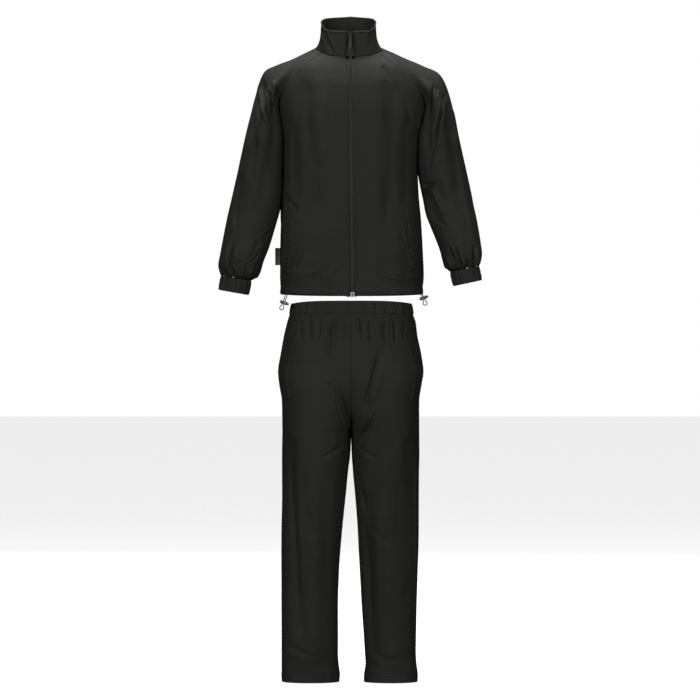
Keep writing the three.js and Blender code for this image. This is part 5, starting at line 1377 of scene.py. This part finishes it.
def collar_columns(fine):
    columns = []
    for side in (-1, 1):
        front_angle, _ = raglan_places(side, -1, 1)
        back_angle, _ = raglan_places(side, 1, 1)
        start = body_angle(side, COLLAR_EDGE[side], NECK_FRONT_Z, -1)
        parts = [
            np.linspace(start, front_angle[0], NECK_FRONT_STEPS * fine + 1),
            np.linspace(front_angle[0], back_angle[0], NECK_SIDE_STEPS * fine + 1)[1:],
            np.linspace(back_angle[0], QUARTER, NECK_BACK_STEPS // 2 * fine + 1)[1:],
        ]
        columns.append(np.concatenate(parts))
    left, right = columns
    angle = np.concatenate([left, right[::-1][1:]])
    side = np.concatenate([np.full(len(left), -1), np.full(len(right) - 1, 1)])
    return side, angle


def collar_grid(fine=COLLAR_FINE, rows=COLLAR_FINE_ROWS, pull=0.5):
    side, angle = collar_columns(fine)
    foot = body_point(side, angle, neck_height(angle))
    turn = angle / DEGREE
    half = read_side(COLLAR_TOP, "angle", turn, side)
    depth = read(COLLAR_TOP, "angle", turn, "depth")
    height = read(COLLAR_TOP, "angle", turn, "z")
    top = np.stack([side * half * np.cos(angle), depth * np.sin(angle), height], -1)
    foot[0, 0], foot[-1, 0] = -COLLAR_EDGE[-1], COLLAR_EDGE[1]
    top[0, 0], top[-1, 0] = -COLLAR_EDGE[-1], COLLAR_EDGE[1]
    share = eased(rows, pull)[None, :, None]
    sides = (1 - (1 - share) ** COLLAR_FLARE) * np.abs(np.cos(angle))[:, None, None]
    upright = lerp(share, sides, np.abs(np.cos(angle))[:, None, None])
    point = lerp(foot[:, None], top[:, None], np.concatenate([upright, upright, share + 0 * upright], -1))
    outwards = unit(point * (1 / COLLAR_WIDTH**2, 1 / COLLAR_DEPTH**2, 0))
    return point + outwards * COLLAR_BOW * np.sin(math.pi * share), outwards


def fine_collar_grid():
    grid, outwards = collar_grid()
    away = edge_distances(grid)
    x, y, z = grid[..., 0], grid[..., 1], grid[..., 2]
    roll = 1.5 * bell(away["top"], 2.6, 2.6) - 1.4 * bell(away["top"], 0, 1.0)
    row = -0.8 * bell(away["top"], COLLAR_STITCH["top"], 1.4)
    foot = -1.0 * bell(away["bottom"], 0, 2.0) - 0.5 * bell(away["bottom"], COLLAR_STITCH["bottom"], 1.4)
    ends = np.minimum(away["first"], away["last"])
    turned_edge = 1.1 * bell(ends, 2.2, 2.2) - 1.4 * bell(ends, 0, 0.9)
    line = -0.6 * bell(ends, COLLAR_STITCH["ends"], 1.3) * smooth((away["top"] - 5) / 4)
    creased = creases_at(COLLAR_CREASES, x, z) * smooth(-y / 20) * smooth(away["top"] / 5 + 0.2)
    pucker = 0.3 * np.sin(away["first"] / 4.2 + 1.6 * np.sin(away["first"] / 17))
    pucker = pucker * (bell(away["bottom"], 0, 9) + 0.7 * bell(away["top"], 9, 6))
    lift = roll + row + foot + turned_edge + line + creased + pucker
    lift = lift + 0.5 * waviness(x * 1.6, y * 1.6, z * 1.6)
    return grid + outwards * lift[..., None]


collar = fine_collar_grid()
collar_out = collar * (1, 1, 0)
sheet_piece("collar", "stand_collar", collar, collar_out, DOUBLE_CLOTH, cloth)
rows = [
    grid_line(collar, "top", COLLAR_STITCH["top"], collar_out, slice(3, -3)),
    grid_line(collar, "bottom", COLLAR_STITCH["bottom"], collar_out),
]
for edge in ("first", "last"):
    rows.append(grid_line(collar, edge, COLLAR_STITCH["ends"], collar_out, slice(2, -6)))
stitches("collar_stitching", rows, stitch_colour_with_highlight)

GUARD_LEFT, GUARD_RIGHT = -23, 19
GUARD_COLUMNS, GUARD_ROWS = 30, 24
GUARD_SINK, GUARD_CURL = 2.8, 2.6
GUARD_CLOTH = 1.3
edges, _ = collar_grid(1, GUARD_ROWS, 0)
left_edge, right_edge = edges[0], edges[-1]
share = np.linspace(0, 1, GUARD_COLUMNS + 1)[:, None, None]
guard = lerp(left_edge[None], right_edge[None], share)
guard[..., 0] = lerp(GUARD_LEFT, GUARD_RIGHT, share[..., 0])
guard[..., 1] += GUARD_SINK + GUARD_CURL * smooth(np.abs(share[..., 0] - 0.5) * 2)
guard[..., 2] -= 1
sheet_piece("zip_guard", "zip_guard_strip", guard, FRONT_OUT, GUARD_CLOTH, lining)


# Front zip: woven tapes, two rows of moulded teeth, the grey box at its foot

TAPE_TOP = -21
CHAIN_FOOT = -661.7
CHAIN_TOP = 43
TAPE_THICKNESS = 0.9
TOOTH = {"pitch": 2.5, "reach": 3.3, "overlap": 0.7, "height": 1.5, "depth": 1.5, "sink": 0.8}


# Places and outward directions along the zip, on the body below the neck and on the collar above it
def zip_places(z):
    x = zip_x(z)
    side = np.where(x < 0, -1, 1)
    on_body = body_point(side, body_angle(side, x, z, -1), z)
    normal = body_normal(side, body_angle(side, x, z, -1), z)
    collar_y = np.interp(z, left_edge[:, 2], (left_edge[:, 1] + right_edge[:, 1]) / 2)
    above = smooth((z + 17) / 4 + 0.5)[:, None]
    on_collar = np.stack([x, collar_y, z], -1)
    return lerp(on_body, on_collar, above), unit(lerp(normal, FRONT_OUT, above))


def tape_wall(name, side, near, far, low, high, sink):
    z = np.linspace(low, high, 130)
    place, normal = zip_places(z)
    across = np.linspace(near, far, 9)[:, None]
    grid = np.repeat(place[None], len(across), 0)
    grid[..., 0] += side * across
    if high <= TAPE_TOP:
        own_side = np.where(grid[..., 0] < 0, -1, 1)
        angle = body_angle(own_side, grid[..., 0], grid[..., 2], -1)
        grid[..., 1] = body_point(own_side, angle, grid[..., 2])[..., 1]
    return cloth_wall(name, grid - normal[None] * sink, FRONT_OUT, TAPE_THICKNESS, tape_cloth)


for side in (-1, 1):
    name = SIDE_NAME[side]
    piece = tape_wall("woven_tape_" + name, side, 0.15, ZIP_TAPE_WIDTH, CHAIN_FOOT, TAPE_TOP, ZIP_TAPE_SINK)
    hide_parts("zip_tape_" + name)
    made_sheets["zip_tape_" + name] = piece
    upper = tape_wall("woven_tape_upper_" + name, side, 0.15, 4.5, TAPE_TOP + 0.3, CHAIN_TOP, 1.9)

tooth_points, tooth_faces = [], []
tooth_z = np.arange(CHAIN_FOOT + 1, CHAIN_TOP - 1, TOOTH["pitch"] / 2)
tooth_z = tooth_z[(tooth_z < 25) | (tooth_z > 40)]
place, normal = zip_places(tooth_z)
for i, (at, out) in enumerate(zip(place, normal)):
    side = 1 if i % 2 else -1
    head, tail = -side * TOOTH["overlap"], side * (TOOTH["reach"] - TOOTH["overlap"])
    tall = TOOTH["height"] / 2
    front_y, back_y = -0.3, -0.3 - TOOTH["depth"]
    base = len(tooth_points)
    for share, half in ((0, tall), (0.28, tall * 0.72), (0.4, tall * 0.72), (1, tall * 0.9)):
        x = lerp(head, tail, share)
        for up, y in ((-1, back_y), (-0.75, front_y), (0.75, front_y), (1, back_y)):
            spot = at + out * y
            tooth_points.append((spot[0] + x, spot[1], spot[2] + up * half))
    for ring in range(3):
        a = base + ring * 4
        tooth_faces += [(a + k, a + (k + 1) % 4, a + 4 + (k + 1) % 4, a + 4 + k) for k in range(4)]
    tooth_faces += [(base, base + 3, base + 2, base + 1), (base + 12, base + 13, base + 14, base + 15)]
piece = new_piece("zip_teeth", tooth_points, tooth_faces, chain_plastic, False)
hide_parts("zip_chain")


# Box-shaped body with rounded edges
def block(low, high, edge):
    mesh = bmesh.new()
    bmesh.ops.create_cube(mesh, size=1)
    size, middle = np.subtract(high, low), np.add(high, low) / 2
    for vertex in mesh.verts:
        vertex.co = Vector(np.array(vertex.co) * size + middle)
    corners = mesh.edges[:] + mesh.verts[:]
    bmesh.ops.bevel(mesh, geom=corners, offset=edge, segments=3, affect="EDGES", profile=0.5)
    points = [tuple(vertex.co) for vertex in mesh.verts]
    faces = [tuple(vertex.index for vertex in face.verts) for face in mesh.faces]
    mesh.free()
    return points, faces


# Grey foot box of the zip: two cheeks, a bar across each end, and the pin that shows between them
BOX_PARTS = [
    ((-1.5, -126, -676), (2.6, -122, -662), 0.9),
    ((5.4, -126, -676), (9.5, -122, -662), 0.9),
    ((1.6, -125.8, -676), (6.4, -122.2, -672.6), 0.6),
    ((1.6, -125.6, -664.6), (6.4, -122.4, -662.2), 0.5),
]
box_points, box_faces = [], []
for low, high, edge in BOX_PARTS:
    points, faces = block(low, high, edge)
    box_faces += [tuple(index + len(box_points) for index in face) for face in faces]
    box_points += points
foot_box = new_piece("zip_foot_box", box_points, box_faces, box_plastic, False)
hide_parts("zip_box")
points, faces = block((3.1, -124.6, -673.4), (4.9, -122.6, -663.6), 0.4)
new_piece("zip_foot_pin", points, faces, chain_plastic, False)

for name in ("zip_slider", "zip_pull"):
    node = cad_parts[name]
    for material_slot in node.material_slots:
        material_slot.link = "OBJECT"
        material_slot.material = enamel


# Hand pockets: a narrow welt laid on each front, with its two rows of stitching

WELT = {"x_low": 178, "x_high": 158, "low": -594, "high": -434, "width": 20}
WELT_LAID_ON = 0.8
WELT_CLOTH = 1.4
WELT_STITCH = 3.2
WELT_PUCKERS = {
    -1: (2.6, (-585, -574, -562, -551, -540, -525)),
    1: (1.5, (-588, -571, -553, -534, -512, -497)),
}


def front_surface(side, x, z):
    angle = body_angle(side, x, z, -1)
    point = body_point(side, angle, z)
    lift = front_lift(point, angle, z, 0, 1.0)
    return point, body_normal(side, angle, z), lift


for side in (-1, 1):
    name = SIDE_NAME[side]
    share = np.linspace(0, 1, 130)[None]
    across = np.linspace(-0.5, 0.5, 17)[:, None]
    z = lerp(WELT["low"], WELT["high"], share) + 0 * across
    x = side * (lerp(WELT["x_low"], WELT["x_high"], share) + across * WELT["width"])
    point, normal, lift = front_surface(side, x, z)
    size, rows = WELT_PUCKERS[side]
    pucker = sum(bell(z + 3 * across, row, 2.6) for row in rows)
    pucker = -size * pucker * smooth((0.5 - np.abs(across + 0.08)) / 0.3)
    edge = np.minimum(0.5 - np.abs(across), np.minimum(share, 1 - share) * 8) * WELT["width"]
    rounded = 0.9 * smooth(edge / 2.4) - 0.5 * bell(edge, WELT_STITCH, 0.9)
    laid = np.maximum(lift, 0.4 * lift) + WELT_LAID_ON + WELT_CLOTH - 0.6 + rounded
    grid = point + normal * (laid + pucker)[..., None]
    sheet_piece("pocket_welt_" + name, "pocket_welt_strip_" + name, grid, FRONT_OUT, WELT_CLOTH, cloth)
    rows = [grid_line(grid, edge, WELT_STITCH, FRONT_OUT, slice(3, -3)) for edge in ("first", "last")]
    stitches("welt_stitching_" + name, rows, stitch_colour_with_highlight)


# Side label: a bare pale tab in the side seam
LABEL = {"near": -194.8, "far": -208.5, "low": -586, "high": -539, "cloth": 0.9}
share = np.linspace(0, 1, 16)[:, None]
z = np.linspace(LABEL["low"], LABEL["high"], 24)[None]
bent = 0.8 * np.sin(share * 2.4) * np.sin((z - LABEL["low"]) / 19) - 0.45
grid = np.stack([lerp(LABEL["near"], LABEL["far"], share) + 0 * z, bent, z + 0.6 * share * np.sin(z / 9)], -1)
sheet_piece("side_label", "side_tab", grid, FRONT_OUT, LABEL["cloth"], label_cloth)


# Trousers

TROUSER_COLUMNS = {-1: 150, 1: 90}
TROUSER_FINE_ROWS = {-1: 320, 1: 200}
WAIST_STITCH = 5


def leg_section(side, z):
    outer = read_side(HIP, "z", z, side)
    inner = read_side(HIP, "z", z, side, "inner_left", "inner_right")
    share = np.clip((CROTCH_CURVE_TOP - z) / (CROTCH_CURVE_TOP - CROTCH), 0, 1)
    below = z <= CROTCH
    centre = np.where(below, (outer + inner) / 2, share * outer / (1 + share))
    half = np.where(below, (outer - inner) / 2, outer / (1 + share))
    return centre, half, share


def trouser_point(side, facing, turn, z):
    centre, half, _ = leg_section(side, z)
    power = 2 / TROUSER_ROUNDNESS
    depth = read(HIP, "z", z, "front" if facing < 0 else "back")
    middle = read(HIP, "z", z, "middle")
    x = centre + half * np.sign(np.cos(turn)) * np.abs(np.cos(turn)) ** power
    y = middle + facing * depth * np.abs(np.sin(turn)) ** power
    return np.stack([side * (x - SEAM_OVERLAP), y, z + 0 * y], -1)


def last_turn(side, z):
    share = leg_section(side, z)[2]
    return math.pi - np.arccos(share ** (TROUSER_ROUNDNESS / 2))


def trouser_lift(point, facing, u, z):
    x, y = point[..., 0], point[..., 1]
    folds = TROUSER_FRONT_FOLDS if facing < 0 else TROUSER_BACK_FOLDS
    creases = TROUSER_FRONT_CREASES if facing < 0 else TROUSER_BACK_CREASES
    lift = folds_at(folds, x, z) * smooth(u / 0.25) * smooth((1 - u) / 0.25)
    lift = lift + creases_at(creases, x, z) * smooth(u / 0.06 + 0.1) * smooth((1 - u) / 0.06 + 0.1)
    along = x * 1.3 + y * 0.7
    gather = np.sin(along / 2.6 + 1.8 * np.sin(along / 11)) + 0.6 * np.sin(along / 5.3 + 0.7)
    lift = lift + 0.55 * gather * smooth((z - WAIST_SEAM + 34 + 16 * np.sin(along / 7)) / 34)
    return lift + 0.75 * waviness(x, y, z)


def trouser_grid(side, facing):
    u = np.linspace(0, 1, TROUSER_COLUMNS[facing] + 1)[:, None]
    z = lerp(LEG_HEM_SEAM, WAIST_SEAM, eased(TROUSER_FINE_ROWS[facing], 0.35))[None]
    turn = u * last_turn(side, z)
    point = trouser_point(side, facing, turn, z + 0 * u)
    normals = turned_outwards(grid_normals(point), (0, facing, 0))
    z = point[..., 2]
    away = edge_distances(point)
    lift = trouser_lift(point, facing, u, z)
    lift = lift * smooth((z - LEG_HEM_SEAM) / 10 + 0.35) * smooth(away["first"] / 3 + 0.3)
    lift = lift + seam_dip(away["first"], away["bottom"], 0.7) + seam_dip(away["last"], away["bottom"], 0.8)
    grid = point + normals * lift[..., None]
    # the two fronts and the two backs meet in the middle, above the crotch
    apart = grid[-1, :, 0] + side * SEAM_OVERLAP
    near_edge = np.clip(1 - away["last"] / 14, 0, 1) ** 2
    grid[..., 0] -= apart * near_edge * smooth((z - CROTCH + 10) / 20)
    return grid


# Turned leg hem, all round one leg
LEG_HEM_COLUMNS = 240
LEG_HEM_ROWS = 16
LEG_HEM_STITCH = 22
LEG_HEM_UPPER_STITCH = 2.5


def leg_hem_grid(side):
    turn = np.arange(LEG_HEM_COLUMNS) / LEG_HEM_COLUMNS * 2 * math.pi
    z = lerp(LEG_HEM_SEAM, LEG_HEM_BOTTOM, eased(LEG_HEM_ROWS, 0.6))[None]
    folded = np.where(turn <= math.pi, turn, 2 * math.pi - turn)[:, None]
    front = trouser_point(side, -1, folded, z + 0 * folded)
    back = trouser_point(side, 1, folded, z + 0 * folded)
    grid = np.where((turn <= math.pi)[:, None, None], front, back)
    outwards = unit((grid - grid.mean((0, 1))) * (1, 1, 0))
    drop = LEG_HEM_SEAM - grid[..., 2]
    along = turn[:, None] * 85
    lift = -0.6 * bell(drop, 0, 1.5) - 0.7 * bell(drop, LEG_HEM_STITCH, 1.4)
    lift = lift + 0.35 * np.sin(along / 6 + 1.4 * np.sin(along / 31)) + 0.3 * np.sin(along / 19 + drop / 9)
    return grid + outwards * lift[..., None]


for side in (-1, 1):
    name = SIDE_NAME[side]
    for facing, face_name, out in ((-1, "front", FRONT_OUT), (1, "back", BACK_OUT)):
        grid = trouser_grid(side, facing)
        sheet_piece(f"trouser_{face_name}_{name}", f"trouser_leg_{face_name}_{name}", grid, out, CLOTH, cloth)
        line = grid_line(grid, "top", WAIST_STITCH, out, slice(1, -1))
        stitches(f"waist_stitching_{face_name}_{name}", [line], stitch_colour_with_highlight)
    hem = leg_hem_grid(side)
    out = hem - hem.mean((0, 1))
    sheet_piece("leg_hem_" + name, "turned_leg_hem_" + name, hem, out, DOUBLE_CLOTH, cloth, closed=True)
    drops = (LEG_HEM_UPPER_STITCH, LEG_HEM_STITCH)
    rows = [grid_line(wrapped(hem), "bottom", drop, wrapped(out)) for drop in drops]
    stitches("leg_hem_stitching_" + name, rows, stitch_colour_with_highlight)


# Waistband: wide elastic gathered all round, softer and fuller than the cloth below it
BAND_COLUMNS = 560
BAND_ROWS = 20
BAND_STITCHES = (0.34, 0.68)
turn = np.arange(BAND_COLUMNS) / BAND_COLUMNS * 2 * math.pi
share = eased(BAND_ROWS, 0.7)[None]
cosine, sine = np.cos(turn)[:, None], np.sin(turn)[:, None]
top = WAIST_TOP - WAIST_SIDE_DROP * cosine**4
z = lerp(WAIST_SEAM, top, share)
side = np.where(cosine < 0, -1, 1) + 0 * z
half = read_side(HIP, "z", z, side)
depth = np.where(sine < 0, read(HIP, "z", z, "front"), read(HIP, "z", z, "back"))
power = 2 / TROUSER_ROUNDNESS
x = half * np.sign(cosine) * np.abs(cosine) ** power
y = depth * np.sign(sine) * np.abs(sine) ** power
normal = unit(np.stack([x, 1.4 * y, 0 * z], -1))
around = turn[:, None]
gather = 1.0 * np.cos(WAIST_GATHERS * around + 0.9 * np.sin(5 * around))
gather = gather + 0.8 * np.cos(71 * around + 1.6 * np.sin(7 * around) + share * 1.2)
gather = gather + 0.45 * np.cos(113 * around + 2.1 * np.sin(3 * around) - share)
fullness = 0.5 + 0.5 * np.abs(np.sin(2 * math.pi * (share * 1.02))) ** 0.5
lines = sum(bell(share, row, 0.03) for row in BAND_STITCHES)
lift = gather * fullness - 1.0 * lines + 1.1 * np.sin(math.pi * share) - 0.6 * bell(share, 0, 0.05)
band = np.stack([x, y, z], -1) + normal * lift[..., None]
sheet_piece("waistband", "elastic_waistband", band, normal, ELASTIC, gathered_cloth, True)
height = float(np.median(edge_distances(wrapped(band))["bottom"][:, -1]))
rows = [grid_line(wrapped(band), "bottom", height * row, wrapped(normal)) for row in BAND_STITCHES]
stitches("waistband_stitching", rows, stitch_colour_with_highlight)


# Side pockets of the trousers: a slanted turned edge on each front
POCKET = {"low": -955, "high": -736, "near": 20, "far": 44, "width": 9, "cloth": 1.2, "laid_on": 0.7}
for side in (-1, 1):
    name = SIDE_NAME[side]
    share = np.linspace(0, 1, 120)[None]
    across = np.linspace(-0.5, 0.5, 9)[:, None]
    z = lerp(POCKET["low"], POCKET["high"], share) + 0 * across
    reach = read_side(HIP, "z", z, side)
    wanted = reach - lerp(POCKET["near"], POCKET["far"], share**1.6) + across * POCKET["width"]
    centre, half, _ = leg_section(side, z)
    ratio = np.clip((wanted - centre) / half, -1, 1)
    turn = np.arccos(np.sign(ratio) * np.abs(ratio) ** (TROUSER_ROUNDNESS / 2))
    point = trouser_point(side, -1, turn, z)
    normals = turned_outwards(grid_normals(point), FRONT_OUT)
    lift = trouser_lift(point, -1, turn / last_turn(side, z), z)
    edge = np.minimum(0.5 - np.abs(across), np.minimum(share, 1 - share) * 12) * POCKET["width"]
    rounded = 0.8 * smooth(edge / 1.8) - 0.4 * bell(edge, 3, 0.8) * (across < 0)
    grid = point + normals * (lift + POCKET["laid_on"] + POCKET["cloth"] - 0.5 + rounded)[..., None]
    sheet_piece("pocket_edge_" + name, "pocket_edge_strip_" + name, grid, FRONT_OUT, POCKET["cloth"], cloth)


# Flat size that shows of each cut piece: width, length and, where it isn't a rectangle, its share of that
CUT = {
    "front": (275, 680, 0.8),
    "back": (540, 700, 0.82),
    "sleeve": (500, 790, 0.72),
    "cuff": (300, 42, 1),
    "hem_front": (268, 29, 1),
    "hem_back": (535, 29, 1),
    "collar": (440, 82, 0.92),
    "zip_guard": (42, 72, 1),
    "zip_tape": (14, 645, 1),
    "pocket_welt": (30, 178, 1),
    "side_label": (14, 48, 1),
    "trouser_front": (290, 990, 0.9),
    "trouser_back": (300, 990, 0.9),
    "waistband": (900, 38, 1),
    "pocket_edge": (15, 228, 1),
    "leg_hem": (470, 27, 1),
}
for name, piece in made_sheets.items():
    kind = name.replace("_left", "").replace("_right", "")
    width, length, share = CUT[kind]


# Studio: a flat white floor, soft light from above, the sides and behind, and a white world.
# The camera alone sees the floor and the world, so that neither lights the cloth.

FLOOR = -1.7335
FLOOR_REACH = 40
FLOOR_GLOW = 0.85
floor_mesh = bpy.data.meshes.new("studio_floor")
corners = ((-1, -1), (1, -1), (1, 1), (-1, 1))
floor_mesh.from_pydata([(x * FLOOR_REACH, y * FLOOR_REACH, FLOOR) for x, y in corners], [], [(0, 1, 2, 3)])
floor = bpy.data.objects.new("studio_floor", floor_mesh)
bpy.context.scene.collection.objects.link(floor)
paper = shader("pale_paper", (0.55, 0.55, 0.55), 0.9, 0.0)[0]
paper_inputs = paper.node_tree.nodes["Principled BSDF"].inputs
paper_inputs["Emission Color"].default_value = (1, 1, 1, 1)
paper_inputs["Emission Strength"].default_value = FLOOR_GLOW
floor_mesh.materials.append(paper)
floor.visible_glossy = False
floor.visible_diffuse = False


def soft_light(name, place, target, width, height, power):
    data = bpy.data.lights.new(name, "AREA")
    data.shape = "RECTANGLE"
    data.size, data.size_y = width, height
    data.energy = power
    lamp = bpy.data.objects.new(name, data)
    bpy.context.scene.collection.objects.link(lamp)
    lamp.location = place
    lamp.rotation_euler = (Vector(target) - Vector(place)).to_track_quat("-Z", "Y").to_euler()
    return lamp


soft_light("light_above", (-0.1, 0.5, 3.2), (0, 0, -0.6), 3.0, 2.2, 270)
soft_light("light_left", (-3.4, -5.0, 0.2), (0, 0, -0.9), 2.6, 3.2, 230)
soft_light("light_right", (3.4, -5.0, 0.2), (0, 0, -0.9), 2.6, 3.2, 190)
behind = soft_light("light_behind", (0.5, 5.0, 1.4), (0, 0, -0.9), 4.0, 3.0, 130)
behind.visible_glossy = False
world = bpy.data.worlds.new("studio")
bpy.context.scene.world = world
world.use_nodes = True
world.node_tree.nodes["Background"].inputs["Color"].default_value = (1, 1, 1, 1)
world.node_tree.nodes["Background"].inputs["Strength"].default_value = 1.0
world.cycles_visibility.diffuse = False
world.cycles_visibility.glossy = False
bpy.context.scene.view_settings.view_transform = "Standard"
